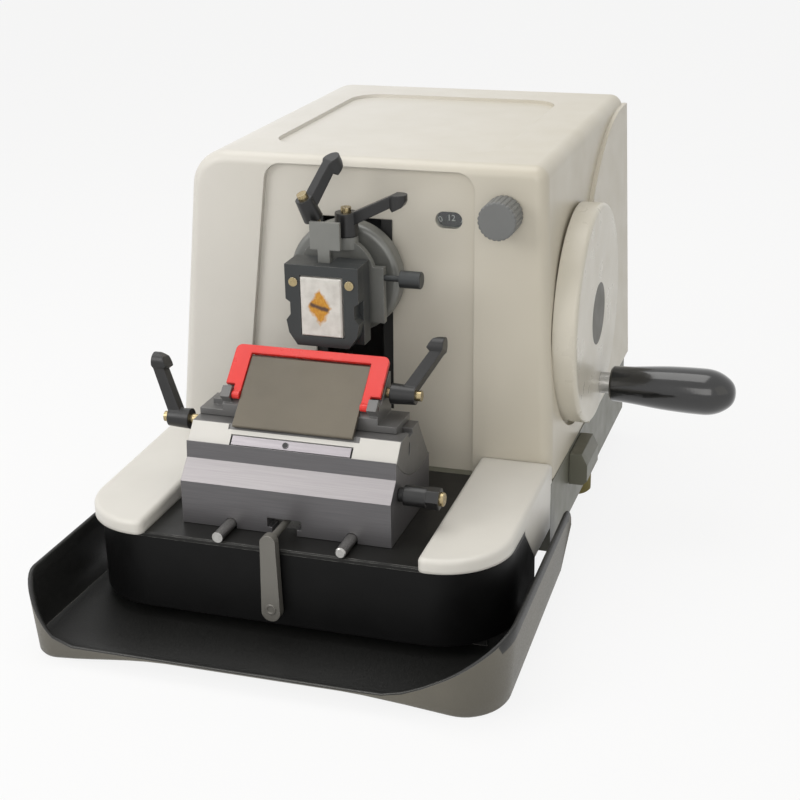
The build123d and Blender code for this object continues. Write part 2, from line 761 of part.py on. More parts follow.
# Clamp back plate: carries the cassette clamp on a rounded bearing across the block's front
bulge_radius = swivel_front - slip - pivot_y
clamp_outline = ((-clamp_half_width, clamp_top), (clamp_half_width, clamp_top),
                 (clamp_half_width, clamp_notch_top), (clamp_half_width - 3, clamp_notch_top - 2),
                 (clamp_half_width - 3, clamp_notch_bottom + 1),
                 (clamp_half_width, clamp_notch_bottom - 3), (clamp_half_width - 1.5, clamp_bottom + 8),
                 (clamp_half_width - 7, clamp_bottom), (-clamp_half_width + 7, clamp_bottom),
                 (-clamp_half_width + 1.5, clamp_bottom + 8), (-clamp_half_width, clamp_notch_bottom - 3),
                 (-clamp_half_width + 3, clamp_notch_bottom + 1),
                 (-clamp_half_width + 3, clamp_notch_top - 2), (-clamp_half_width, clamp_notch_top))
with BuildPart() as clamp_back_plate:
    with BuildSketch(facing(clamp_rear)):
        span(-clamp_half_width, clamp_half_width, clamp_bottom, clamp_top)
    extrude(amount=clamp_rear - clamp_split)
    with BuildSketch(across(-clamp_half_width + 3)):
        disc(pivot_y, head_z, bulge_radius)
        span(pivot_y - bulge_radius, clamp_split, head_z - bulge_radius - 1, head_z + bulge_radius + 1)
        with Locations((clamp_split - 10, head_z)):
            Rectangle(20, 2 * bulge_radius + 2, mode=Mode.SUBTRACT)
    extrude(amount=2 * clamp_half_width - 6)
    with BuildSketch(facing(clamp_rear + 1)):
        span(release_left - slip, release_right + slip, release_z - 3 - slip, clamp_top + 1)
    extrude(amount=20, mode=Mode.SUBTRACT)
    with BuildSketch(across(release_left - 6)):
        disc(release_y, release_z, 1 + running)
    extrude(amount=release_right - release_left + 12, mode=Mode.SUBTRACT)
keep(clamp_back_plate, "clamp_back_plate")

# Clamp body: front of the cassette clamp, with the pocket for the cassette
pocket_half_width = block_width / 2 + 0.8
pocket_half_height = block_height / 2 + 0.8
with BuildPart() as clamp_body:
    with BuildSketch(facing(clamp_split)):
        panel(*clamp_outline)
    extrude(amount=clamp_split - clamp_front)
    with BuildSketch(facing(clamp_split - 2)):
        with Locations((0, block_z)):
            Rectangle(2 * pocket_half_width, 2 * pocket_half_height)
    extrude(amount=20, mode=Mode.SUBTRACT)
    with BuildSketch(facing(clamp_split + 1)):
        span(release_left - slip, release_right + slip, release_z - 3 - slip, clamp_top + 1)
    extrude(amount=1 + clamp_split - release_y + 2.4 + slip, mode=Mode.SUBTRACT)
    with BuildSketch(across(release_left - 6)):
        disc(release_y, release_z, 1 + running)
    extrude(amount=release_right - release_left + 12, mode=Mode.SUBTRACT)
    with BuildSketch(facing(clamp_split)):
        for hand in (-1, 1):
            disc(hand * clamp_screw_x, clamp_screw_z, 2)
    extrude(amount=20, mode=Mode.SUBTRACT)
keep(clamp_body, "clamp_body")

# Clamp screws: two brass screws in the clamp's upper corners
with BuildPart() as clamp_screws:
    with BuildSketch(facing(clamp_split)):
        for hand in (-1, 1):
            disc(hand * clamp_screw_x, clamp_screw_z, 2)
    extrude(amount=clamp_split - clamp_front)
    with BuildSketch(facing(clamp_front)):
        for hand in (-1, 1):
            disc(hand * clamp_screw_x, clamp_screw_z, 3)
    extrude(amount=0.8)
keep(clamp_screws, "clamp_screws")

# Cassette: slotted plastic frame, seated in the clamp's pocket
with BuildPart() as cassette:
    with BuildSketch(facing(clamp_split - 2)):
        with Locations((0, block_z)):
            Rectangle(2 * pocket_half_width - 2 * slip, 2 * pocket_half_height - 2 * slip)
    extrude(amount=6)
keep(cassette, "cassette")

# Paraffin block: wax block with the embedded sample, cast on the cassette
with BuildPart() as paraffin_block:
    with BuildSketch(facing(clamp_split - 8)):
        with Locations((0, block_z)):
            Rectangle(block_width, block_height)
    extrude(amount=clamp_split - 8 - block_face)
    chamfer(faces().sort_by(Axis.Y)[0].edges(), 0.8)
keep(paraffin_block, "paraffin_block")

# Release plate: the thumb plate that opens the clamp, on a cross pin
with BuildPart() as release_plate:
    with BuildSketch(facing(release_y + 1.3)):
        span(release_left, release_right, release_z, release_head_z)
        span(release_head_left, release_head_right, release_head_z, release_top)
    extrude(amount=2.6)
    with BuildSketch(across(release_left)):
        disc(release_y, release_z, 2.4)
    extrude(amount=release_right - release_left)
    with BuildSketch(across(release_left - 5)):
        disc(release_y, release_z, 1)
    extrude(amount=release_right - release_left + 10)
keep(release_plate, "release_plate")


def lever(seat, hub_radius, hub_height, reach, tip_rise):
    """Clamping lever: a round hub on the seat plane and a raised arm along the plane's x axis."""
    side = Plane(origin=seat.origin, x_dir=seat.x_dir, z_dir=-seat.y_dir)
    root = hub_height - 4.5
    with BuildPart() as piece:
        with BuildSketch(seat):
            with Locations(((reach - 6) / 2, 0)):
                SlotCenterToCenter(reach - 6, 8)
            with Locations((reach - 6.5, 0)):
                Circle(6)
        extrude(amount=tip_rise + 10)
        with BuildSketch(side):
            Polygon((-4, root - 4.5), (4, root - 4), (reach - 11, tip_rise - 6), (reach - 9, tip_rise - 8),
                    (reach - 3, tip_rise - 5), (reach, tip_rise), (reach, tip_rise + 2.5),
                    (reach - 9, tip_rise + 2.5), (4, root + 4.4), (-4, root + 4.4), align=None)
        extrude(amount=10, both=True, mode=Mode.INTERSECT)
        with BuildSketch(seat):
            Circle(hub_radius)
        extrude(amount=hub_height, taper=3)
        with BuildSketch(seat):
            Circle(stud_radius)
        extrude(amount=hub_height + 5, mode=Mode.SUBTRACT)
    return piece.part


def stud(seat, depth, gap, hub_height):
    """Clamping screw: shank in its seat's bore, collar below the hub, core through it and a head above."""
    with BuildPart() as piece:
        with BuildSketch(seat.offset(-gap - depth)):
            Circle(stud_radius)
        extrude(amount=depth + gap + hub_height)
        if gap > slip:
            with BuildSketch(seat.offset(-gap + slip)):
                Circle(stud_radius + 1.2)
            extrude(amount=gap - slip)
        with BuildSketch(seat.offset(hub_height)):
            Circle(stud_radius + 1.2)
        extrude(amount=3.5)
    return piece.part


# Clamp lever: it locks the tilt of the clamp, on a slanted stud
with BuildPart() as clamp_lever:
    add(lever(clamp_seat, 6.5, 15.5, 34.7, 25.3))
keep(clamp_lever, "clamp_lever")

with BuildPart() as clamp_lever_screw:
    add(stud(clamp_seat, 12, 15, 15.5))
keep(clamp_lever_screw, "clamp_lever_screw")

# Swivel lever: it locks the block's swivel, on an upright stud
with BuildPart() as swivel_lever:
    add(lever(swivel_seat, 8, 15, 41.5, 26))
keep(swivel_lever, "swivel_lever")

with BuildPart() as swivel_lever_screw:
    add(stud(swivel_seat, 9, slip, 15))
keep(swivel_lever_screw, "swivel_lever_screw")

# Thickness knob: ribbed knob on the housing's front
knob_rear = 5.2
with BuildPart() as thickness_knob:
    with BuildSketch(facing(knob_rear)):
        disc(knob_x, knob_z, knob_radius)
        with Locations((knob_x, knob_z)):
            with PolarLocations(knob_radius + 0.4, 24):
                Circle(0.9, mode=Mode.SUBTRACT)
    extrude(amount=knob_rear - knob_face)
    chamfer(faces().sort_by(Axis.Y)[0].edges(), 0.6)
    with BuildSketch(facing(knob_rear)):
        disc(knob_x, knob_z, knob_shaft_radius)
    extrude(amount=12, mode=Mode.SUBTRACT)
keep(thickness_knob, "thickness_knob")

# Knob shaft: with the pinion of the dial drive behind the housing's wall
dial_face = cavity_front + 0.5
gear_rear = dial_face + 1.5 + gear_width
bracket_face = gear_rear + 0.5
centre_distance = gear_module * (pinion_teeth + dial_teeth) / 2
dial_z = knob_z - sqrt(centre_distance ** 2 - (knob_x - dial_x) ** 2)
mesh_angle = degrees(atan2(dial_z - knob_z, dial_x - knob_x))
tooth = [(-2, -1.45), (1.4, -0.55), (1.4, 0.55), (-2, 1.45)]
with BuildPart() as knob_shaft:
    with BuildSketch(facing(bracket_face + 4)):
        disc(knob_x, knob_z, knob_shaft_radius)
    extrude(amount=bracket_face + 4 - knob_rear + 12)
    with BuildSketch(facing(gear_rear)):
        disc(knob_x, knob_z, gear_module * (pinion_teeth / 2 - 1.2))
        with Locations((knob_x, knob_z)):
            with PolarLocations(gear_module * pinion_teeth / 2, pinion_teeth, mesh_angle):
                Polygon(*tooth, align=None)
    extrude(amount=gear_width - 0.4)
keep(knob_shaft, "knob_shaft")

# Thickness dial: numbered disc behind the window, with its gear
with BuildPart() as dial_disc:
    with BuildSketch(facing(dial_face + 1.5)):
        disc(dial_x, dial_z, 28)
    extrude(amount=1.5)
    with BuildSketch(facing(gear_rear)):
        disc(dial_x, dial_z, gear_module * (dial_teeth / 2 - 1.2))
        with Locations((dial_x, dial_z)):
            with PolarLocations(gear_module * dial_teeth / 2, dial_teeth,
                                mesh_angle + 180 + 180 / dial_teeth):
                Polygon(*tooth, align=None)
    extrude(amount=gear_width)
    with BuildSketch(facing(gear_rear)):
        disc(dial_x, dial_z, 3 + running)
    extrude(amount=gear_width + 5, mode=Mode.SUBTRACT)
keep(dial_disc, "dial_disc")

# Dial bracket: plate on two pillars, with the axle of the dial
with BuildPart() as dial_bracket:
    with BuildSketch(facing(bracket_face + 3)):
        span(dial_x - 8, knob_x + 10, dial_z - 8, knob_z + 12)
        disc(knob_x, knob_z, knob_shaft_radius + running, Mode.SUBTRACT)
    extrude(amount=3)
    with BuildSketch(facing(bracket_face)):
        disc(dial_x, dial_z, 3)
    extrude(amount=bracket_face - dial_face - 0.8)
    with BuildSketch(facing(bracket_face)):
        disc(dial_x + 5, knob_z + 8, 3.5)
        disc(knob_x + 4, dial_z - 3, 3.5)
    extrude(amount=bracket_face - cavity_front)
keep(dial_bracket, "dial_bracket")

# Knife base: block with a round hollow on top, a tee slot and two rod grooves below
left_seat = Plane(origin=place(-79, -87, 128.5), x_dir=(0, 10, 40.5), z_dir=(-1, 0, 0))
right_seat = Plane(origin=place(51, -68, 152), x_dir=(0, 21, 33), z_dir=(1, 0, 0))
bolt_y = -105.0
bolt_z = 101.0
with BuildPart() as knife_base:
    with BuildSketch(across(knife_left)):
        panel((knife_front, housing_foot + slip), (knife_front, knife_chamfer_foot - 1),
              (knife_front + 1, knife_chamfer_foot), (arc_front - 2.6, knife_chamfer_top), (arc_front, 140),
              (knife_back, 140), (knife_back, housing_foot + slip))
        disc(edge_y, edge_z, arc_radius, Mode.SUBTRACT)
    extrude(amount=knife_right - knife_left)
    with BuildSketch(facing(knife_back + 1)):
        span(tee_x - tee_slot_width / 2, tee_x + tee_slot_width / 2, tee_slot_bottom, tee_slot_top)
        span(tee_x - tee_neck / 2, tee_x + tee_neck / 2, housing_foot, tee_slot_bottom)
        for hand in (-1, 1):
            at = guide_rod_x + hand * guide_rod_pitch / 2
            disc(at, housing_foot + guide_rod_radius, guide_rod_radius + slip)
            span(at - guide_rod_radius - slip, at + guide_rod_radius + slip, housing_foot,
                 housing_foot + guide_rod_radius)
    extrude(amount=knife_back - knife_front + 2, mode=Mode.SUBTRACT)
    with BuildSketch(across(knife_right - 16)):
        disc(bolt_y, bolt_z, 3 + running)
    extrude(amount=20, mode=Mode.SUBTRACT)
keep(knife_base, "knife_base")

# Guide rods: two steel rods on the top plate, in the grooves of the knife base
with BuildPart() as guide_rods:
    with BuildSketch(facing(knife_back - 10)):
        for hand in (-1, 1):
            disc(guide_rod_x + hand * guide_rod_pitch / 2, housing_foot + guide_rod_radius,
                 guide_rod_radius)
    extrude(amount=knife_back - 10 + apron_front + 1.7)
    chamfer(faces().sort_by(Axis.Y)[0].edges(), 0.8)
keep(guide_rods, "guide_rods")

# Tee bar: fixed bar in the tee slot, bored for the base lever's shaft
lever_z = (tee_slot_bottom + tee_slot_top) / 2
with BuildPart() as tee_bar:
    with BuildSketch(facing(knife_back - 10)):
        span(tee_x - tee_slot_width / 2 + slip, tee_x + tee_slot_width / 2 - slip, tee_slot_bottom + slip,
             tee_slot_top - slip)
        span(tee_x - tee_neck / 2 + slip, tee_x + tee_neck / 2 - slip, housing_foot, tee_slot_bottom + slip)
    extrude(amount=knife_back - 10 - knife_front - 10)
    with BuildSketch(facing(knife_back - 40)):
        disc(tee_x, lever_z, 2.2 + running)
    extrude(amount=60, mode=Mode.SUBTRACT)
keep(tee_bar, "tee_bar")

# Base lever: flat steel lever that hangs in front of the apron, with its shaft in the tee bar
with BuildPart() as base_lever:
    with BuildSketch(facing(-144)):
        panel((tee_x - 5, lever_z), (tee_x + 5, lever_z), (tee_x + 6.1, 32.2), (tee_x - 6.1, 32.2))
        disc(tee_x, lever_z, 5)
        disc(tee_x, 32.2, 6.1)
    extrude(amount=6)
    with BuildSketch(facing(knife_back - 42)):
        disc(tee_x, lever_z, 2.2)
    extrude(amount=knife_back - 42 + 146)
    with BuildSketch(facing(-150)):
        disc(tee_x, 34.3, 3.4)
        disc(tee_x, 34.3, 2.2, Mode.SUBTRACT)
    extrude(amount=0.6)
keep(base_lever, "base_lever")

# Segment: the knife carrier that rocks in the hollow of the base about the blade's edge
with BuildPart() as segment:
    with BuildSketch(across(knife_left)):
        disc(edge_y, edge_z, arc_radius - slip)
        with Locations((edge_y, segment_top + 50)):
            Rectangle(150, 100, mode=Mode.SUBTRACT)
    extrude(amount=knife_right - knife_left)
    with BuildSketch(across(knife_left)):
        panel((arc_front, 100), (arc_front, bevel_foot), (segment_top_front, segment_top),
              (segment_top_rear, segment_top), (segment_top_rear, 131.3), (-40, 98), (-40, 90),
              (arc_front, 90))
    extrude(amount=knife_right - knife_left, mode=Mode.INTERSECT)
    with BuildSketch(across(knife_left)):
        with Locations((rib_y, segment_top)):
            Rectangle(rib_width + 2 * slip, 2 * (rib_depth + slip))
    extrude(amount=knife_right - knife_left, mode=Mode.SUBTRACT)
    with BuildSketch(across(knife_left - 1)):
        disc(-87, 128.5, stud_radius + running)
    extrude(amount=13, mode=Mode.SUBTRACT)
    with BuildSketch(across(knife_right - 3)):
        with Locations((-83, 122)):
            SlotOverall(9, 2.6, rotation=80)
    extrude(amount=5, mode=Mode.SUBTRACT)
keep(segment, "segment")

# Retaining strip: bright strip on the segment's front bevel, held by one screw
bevel = Plane(origin=place(0, segment_top_front, segment_top), x_dir=(1, 0, 0),
              z_dir=(0, bevel_foot - segment_top, segment_top_front - arc_front))
with BuildPart() as retaining_strip:
    with BuildSketch(bevel):
        with Locations(((strip_left + strip_right) / 2, -strip_centre)):
            Rectangle(strip_right - strip_left, strip_width)
    extrude(amount=0.8)
    with BuildSketch(bevel):
        with Locations((strip_screw_x, -strip_centre)):
            Circle(2)
    extrude(amount=1.3)
keep(retaining_strip, "retaining_strip")

# Segment lever and its screw, at the segment's left end
with BuildPart() as segment_lever:
    add(lever(left_seat, 6.7, 15, 41.7, 25))
keep(segment_lever, "segment_lever")

with BuildPart() as segment_lever_screw:
    add(stud(left_seat, 10, knife_left + 79, 15))
keep(segment_lever_screw, "segment_lever_screw")

# Holder lever and its screw, at the blade holder's right end
with BuildPart() as holder_lever:
    add(lever(right_seat, 6.7, 16, 39.1, 27))
keep(holder_lever, "holder_lever")

with BuildPart() as holder_lever_screw:
    add(stud(right_seat, 12, 51 - holder_x - holder_block_half, 16))
keep(holder_lever_screw, "holder_lever_screw")

# Segment bolt: sleeve and hexagon on the base's right end, with a brass end screw
with BuildPart() as segment_bolt:
    with BuildSketch(across(knife_right - 15)):
        disc(bolt_y, bolt_z, 3)
    extrude(amount=20)
    with BuildSketch(across(knife_right + slip)):
        disc(bolt_y, bolt_z, 4.6)
    extrude(amount=4)
    with BuildSketch(across(knife_right + 4)):
        disc(bolt_y, bolt_z, 6.5)
    extrude(amount=14.5)
    with BuildSketch(across(knife_right + 18.5)):
        with Locations((bolt_y, bolt_z)):
            RegularPolygon(7, 6)
    extrude(amount=8)
keep(segment_bolt, "segment_bolt")

with BuildPart() as segment_bolt_screw:
    with BuildSketch(across(knife_right + 26.5)):
        disc(bolt_y, bolt_z, 4.4)
    extrude(amount=2.6)
    chamfer(faces().sort_by(Axis.X)[-1].edges(), 0.6)
keep(segment_bolt_screw, "segment_bolt_screw")

# Blade holder: bar with a wedge-shaped block, sliding sideways on the segment
slope = Plane(origin=place(holder_x, plate_foot_y, plate_foot_z), x_dir=(1, 0, 0),
              z_dir=(0, -sin(radians(plate_slope)), cos(radians(plate_slope))))
bed = pressure_plate_thickness + 2 * blade_thickness
holder_bottom = segment_top + slip
holder_rear = edge_y - 0.8
hinge_s = plate_length + guard_gap + guard_bar - guard_prong
ear_inner = guard_half_width - 11.2 + guard_prong_width + slip
pivot_rise = guard_height - guard_thickness / 2
guard_pivot_y, guard_pivot_z = on_slope(hinge_s, pivot_rise)
toe_along = (holder_front - plate_foot_y - bed * sin(radians(plate_slope))) / cos(radians(plate_slope))
holder_toe = on_slope(toe_along, -bed)
holder_top_y, holder_top_z = on_slope(plate_length - 1.5, -bed)
with BuildPart() as blade_holder:
    with BuildSketch(across(holder_x - holder_block_half)):
        panel((holder_front, holder_bottom), holder_toe, (holder_top_y, holder_top_z),
              (holder_rear, holder_top_z - 0.7), (holder_rear, holder_bottom))
    extrude(amount=2 * holder_block_half)
    with BuildSketch(across(holder_bar_left)):
        span(holder_front, holder_rear, holder_bottom, holder_bar_top)
    extrude(amount=holder_bar_right - holder_bar_left)
    with BuildSketch(across(holder_bar_left + rib_inset)):
        with Locations((rib_y, holder_bottom)):
            Rectangle(rib_width, 2 * rib_depth)
    extrude(amount=holder_bar_right - holder_bar_left - rib_inset)
    with BuildSketch(across(holder_bar_left + 6)):
        span(holder_front + 8, holder_rear, holder_bar_top, holder_bar_top + 4)
    extrude(amount=holder_x - holder_bar_left - 40)
    with BuildSketch(slope.offset(-bed - 1)):
        for hand in (-1, 1):
            with Locations((hand * (ear_inner + holder_block_half) / 2, hinge_s)):
                Rectangle(holder_block_half - ear_inner, 8)
    extrude(amount=bed + 1 + pivot_rise + 4)
    with BuildSketch(across(holder_x - holder_block_half - 1)):
        disc(guard_pivot_y, guard_pivot_z, 1.5 + running)
    extrude(amount=2 * holder_block_half + 2, mode=Mode.SUBTRACT)
    with BuildSketch(across(holder_x + holder_block_half - 12)):
        disc(-68, 152, stud_radius + running)
    extrude(amount=14, mode=Mode.SUBTRACT)
keep(blade_holder, "blade_holder")

# Blade: thin disposable blade on the holder's slope
with BuildPart() as blade:
    with BuildSketch(slope.offset(-bed)):
        with Locations((0, plate_length - 2.4)):
            Rectangle(2 * plate_half_width, 8)
    extrude(amount=blade_thickness)
keep(blade, "blade")

# Pressure plate: swings forward on its rounded lower end
hinge_plate_s = 1.4
half_plate = pressure_plate_thickness / 2
plate_pivot_y, plate_pivot_z = on_slope(hinge_plate_s, -half_plate)
with BuildPart() as pressure_plate:
    with BuildSketch(slope.offset(-pressure_plate_thickness)):
        with Locations((0, (hinge_plate_s + plate_length) / 2)):
            Rectangle(2 * plate_half_width, plate_length - hinge_plate_s)
    extrude(amount=pressure_plate_thickness)
    chamfer(edges().group_by(Axis.Z)[-1].sort_by(Axis.Y)[0], 1.6)
    with BuildSketch(across(holder_x - plate_half_width)):
        disc(plate_pivot_y, plate_pivot_z, half_plate)
    extrude(amount=2 * plate_half_width)
keep(pressure_plate, "pressure_plate")

# Finger guard: red frame that swings over the blade's edge
guard_inner = guard_half_width - 11.2
guard_end = plate_length + guard_gap + guard_bar
with BuildPart() as finger_guard:
    with BuildSketch(slope.offset(guard_height - guard_thickness)):
        span(-guard_half_width, guard_half_width, guard_end - guard_bar, guard_end)
        fillet(vertices().group_by(Axis.Y)[-1], 4)
        for hand in (-1, 1):
            with Locations((hand * (guard_inner + guard_half_width) / 2, guard_end - guard_leg / 2 - 2)):
                Rectangle(guard_half_width - guard_inner, guard_leg - 4)
            with Locations((hand * (guard_inner + guard_prong_width / 2), guard_end - guard_prong / 2 - 2)):
                Rectangle(guard_prong_width, guard_prong - 4)
    extrude(amount=guard_thickness)
    with BuildSketch(across(holder_x - guard_inner - guard_prong_width)):
        disc(guard_pivot_y, guard_pivot_z, 2.6)
    extrude(amount=guard_prong_width)
    with BuildSketch(across(holder_x + guard_inner)):
        disc(guard_pivot_y, guard_pivot_z, 2.6)
    extrude(amount=guard_prong_width)
    with BuildSketch(across(holder_x - holder_block_half + 1)):
        disc(guard_pivot_y, guard_pivot_z, 1.5)
    extrude(amount=holder_block_half - 1 - guard_inner)
    with BuildSketch(across(holder_x + guard_inner)):
        disc(guard_pivot_y, guard_pivot_z, 1.5)
    extrude(amount=holder_block_half - 1 - guard_inner)
keep(finger_guard, "finger_guard")

# Brake lever: short dark lever at the right side of the base, with its pin in the casting
with BuildPart() as brake_lever:
    with BuildSketch(facing(brake_rear)):
        panel((base_half_width + slip, 47), (base_half_width + slip, 70), (base_half_width + 9, 70),
              (base_half_width + 13, 62), (base_half_width + 13, 50), (base_half_width + 10, 47))
    extrude(amount=brake_rear - brake_front)
    with BuildSketch(across(base_half_width - brake_pin_depth)):
        disc(brake_pin_y, brake_z, brake_pin_radius)
    extrude(amount=brake_pin_depth + 2)
keep(brake_lever, "brake_lever")

# Waste tray: flared shell on the bench, with a rim that falls round both front corners
foot_half_width = tray_half_width - tray_flare
foot_front = tray_front - tray_flare
flare_angle = degrees(atan2(tray_flare, tray_side_height))
floor_level = tray_under + tray_floor
with BuildPart() as waste_tray:
    with BuildSketch(level(0)):
        span(-foot_half_width, foot_half_width, -foot_front, -tray_rear - tray_flare)
        fillet(vertices().group_by(Axis.Y)[0], tray_corner - tray_flare)
        fillet(vertices().group_by(Axis.Y)[-1], 7)
    extrude(amount=tray_side_height, taper=-flare_angle)
    with BuildSketch(level(0)):
        span(-foot_half_width + tray_wall, foot_half_width - tray_wall, -foot_front + tray_wall,
             -tray_rear - tray_flare - tray_wall)
        fillet(vertices().group_by(Axis.Y)[0], tray_corner - tray_flare - tray_wall)
        fillet(vertices().group_by(Axis.Y)[-1], 4)
    extrude(amount=tray_side_height + 1, taper=-flare_angle, mode=Mode.SUBTRACT)
    with BuildSketch(level(tray_under)):
        span(-foot_half_width, foot_half_width, -foot_front, -tray_rear - tray_flare)
        fillet(vertices().group_by(Axis.Y)[0], tray_corner - tray_flare)
        fillet(vertices().group_by(Axis.Y)[-1], 7)
    extrude(amount=tray_floor)
    with BuildSketch(level(tray_under)):
        span(-tray_notch_half - tray_wall, tray_notch_half + tray_wall, -tray_notch_front - tray_wall,
             -tray_rear - tray_flare - 1)
    extrude(amount=apron_bottom - slip - tray_under)
    with BuildSketch(level(-1)):
        span(-tray_notch_half, tray_notch_half, -tray_notch_front, 0)
    extrude(amount=tray_side_height + 5, mode=Mode.SUBTRACT)
    with BuildSketch(level(floor_level)):
        span(-tray_throat_half, tray_throat_half, -tray_notch_front, 0)
    extrude(amount=tray_side_height, mode=Mode.SUBTRACT)
    with BuildSketch(facing(-150)):
        panel((-108, -1), (-92, 5.5), (-75, tray_under), (55, tray_under), (72, 5.5), (88, -1))
    extrude(amount=60, mode=Mode.SUBTRACT)
    with BuildSketch(across(-tray_half_width - 5)):
        with BuildLine():
            fall = Spline((-tray_front - 6, 26), (-tray_front + 8, 40),
                          (-tray_front + 20, tray_side_height - 24),
                          (-tray_front + 33, tray_side_height - 13),
                          (-tray_front + 46, tray_side_height - 4), (-tray_front + 68, tray_side_height))
            Polyline(fall @ 1, (-tray_front + 68, tray_side_height + 5),
                     (-tray_front - 6, tray_side_height + 5), fall @ 0)
        make_face()
    extrude(amount=2 * tray_half_width + 10, mode=Mode.SUBTRACT)
    with BuildSketch(facing(-150)):
        with BuildLine():
            left = Spline((-tray_half_width + 5, tray_side_height + 19), (-tray_half_width + 19, 53),
                          (-tray_half_width + 30, 38), (-tray_half_width + 54, 23),
                          (-80, tray_lip_height + 1), (-50, tray_lip_height))
            right = Spline((50, tray_lip_height), (80, tray_lip_height + 1), (tray_half_width - 54, 23),
                           (tray_half_width - 30, 38), (tray_half_width - 19, 53),
                           (tray_half_width - 5, tray_side_height + 19))
            Line(left @ 1, right @ 0)
            Line(right @ 1, left @ 0)
        make_face()
    extrude(amount=60, mode=Mode.SUBTRACT)
keep(waste_tray, "waste_tray")
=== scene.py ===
from math import cos, pi, radians, sin

import bmesh
import bpy
from mathutils import Matrix, Vector


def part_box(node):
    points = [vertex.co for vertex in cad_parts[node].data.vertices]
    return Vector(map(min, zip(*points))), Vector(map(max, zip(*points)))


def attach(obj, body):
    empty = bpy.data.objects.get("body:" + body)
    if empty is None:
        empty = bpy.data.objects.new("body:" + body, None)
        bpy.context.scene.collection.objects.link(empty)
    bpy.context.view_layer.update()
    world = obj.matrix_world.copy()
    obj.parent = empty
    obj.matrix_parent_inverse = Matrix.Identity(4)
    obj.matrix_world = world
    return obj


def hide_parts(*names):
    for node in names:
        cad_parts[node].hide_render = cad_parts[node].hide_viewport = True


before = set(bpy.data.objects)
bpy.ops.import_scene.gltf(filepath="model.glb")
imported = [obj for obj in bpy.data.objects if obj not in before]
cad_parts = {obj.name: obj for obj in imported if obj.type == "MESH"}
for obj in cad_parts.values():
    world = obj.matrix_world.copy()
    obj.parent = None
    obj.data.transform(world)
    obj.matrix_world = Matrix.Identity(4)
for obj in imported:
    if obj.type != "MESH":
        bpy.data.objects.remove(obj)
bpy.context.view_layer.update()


# Enamelled base casting: cast iron with a gray-olive enamel, a little orange peel, and paler rubbed edges.
# Its finish is built from one class for arithmetic on sockets and one for a material.
class Reading:
    """An output of a shader node. Arithmetic on it adds Math nodes."""

    def __init__(self, finish, socket):
        self.finish = finish
        self.socket = socket

    def __add__(self, other):
        return self.finish.node("ShaderNodeMath", {"operation": "ADD"}, {0: self, 1: other})

    def __sub__(self, other):
        return self.finish.node("ShaderNodeMath", {"operation": "SUBTRACT"}, {0: self, 1: other})

    def __rsub__(self, other):
        return self.finish.node("ShaderNodeMath", {"operation": "SUBTRACT"}, {0: other, 1: self})

    def __mul__(self, other):
        return self.finish.node("ShaderNodeMath", {"operation": "MULTIPLY"}, {0: self, 1: other})

    def __lt__(self, other):
        return self.finish.node("ShaderNodeMath", {"operation": "LESS_THAN"}, {0: self, 1: other})

    __radd__ = __add__
    __rmul__ = __mul__


class Finish:
    """A material for one kind of surface, with its rounded edges and a mask of them, where wear and painted highlight
    go.
    """

    def __init__(self, name, edge=0.0004, **constants):
        self.material = bpy.data.materials.new(name)
        self.material.use_nodes = True
        self.tree = self.material.node_tree
        self.surface = self.tree.nodes["Principled BSDF"]
        for socket, value in constants.items():
            self.surface.inputs[socket.replace("_", " ")].default_value = value
        self.place = self.node("ShaderNodeTexCoord", output="Object")
        self.round = self.node("ShaderNodeBevel", {"samples": 4}, {"Radius": edge})
        flat = self.node("ShaderNodeNewGeometry", output="Normal")
        along = self.node("ShaderNodeVectorMath", {"operation": "DOT_PRODUCT"}, {0: self.round, 1: flat}, "Value")
        self.rubbed = self.span(1 - along, 0.03, 0.22)

    def node(self, kind, settings=None, values=None, output=0):
        """Adds a node, with its settings first and then its sockets' values or links."""
        made = self.tree.nodes.new(kind)
        for name, setting in (settings or {}).items():
            setattr(made, name, setting)
        for socket, value in (values or {}).items():
            self.feed(made.inputs[socket], value)
        return Reading(self, made.outputs[output])

    def feed(self, socket, value):
        if isinstance(value, Reading):
            self.tree.links.new(value.socket, socket)
        else:
            socket.default_value = value

    def noise(self, scale, detail=3.0, stretch=(1.0, 1.0, 1.0)):
        """Noise of a size in features per metre, stretched along the axes."""
        where = self.node("ShaderNodeMapping", {}, {"Vector": self.place, "Scale": stretch})
        return self.node("ShaderNodeTexNoise", {}, {"Vector": where, "Scale": scale, "Detail": detail})

    def span(self, value, low, high, to_low=0.0, to_high=1.0):
        """A reading between two limits, mapped to two others."""
        return self.node("ShaderNodeMapRange", {"clamp": True}, {
            "Value": value, "From Min": low, "From Max": high, "To Min": to_low, "To Max": to_high})

    def shade(self, mask, first, second):
        """One colour where the mask is 0 and another where it is 1."""
        first = first if isinstance(first, Reading) else (*first, 1.0)
        second = second if isinstance(second, Reading) else (*second, 1.0)
        return self.node("ShaderNodeMix", {"data_type": "RGBA"}, {0: mask, 6: first, 7: second}, 2)

    def paint(self, colour, roughness, height, depth):
        """Feeds the surface its colour, its roughness and its relief."""
        self.feed(self.surface.inputs["Base Color"], colour)
        self.feed(self.surface.inputs["Roughness"], roughness)
        relief = self.node("ShaderNodeBump", {}, {
            "Strength": 0.6, "Distance": depth, "Height": height, "Normal": self.round})
        self.feed(self.surface.inputs["Normal"], relief)
        return self


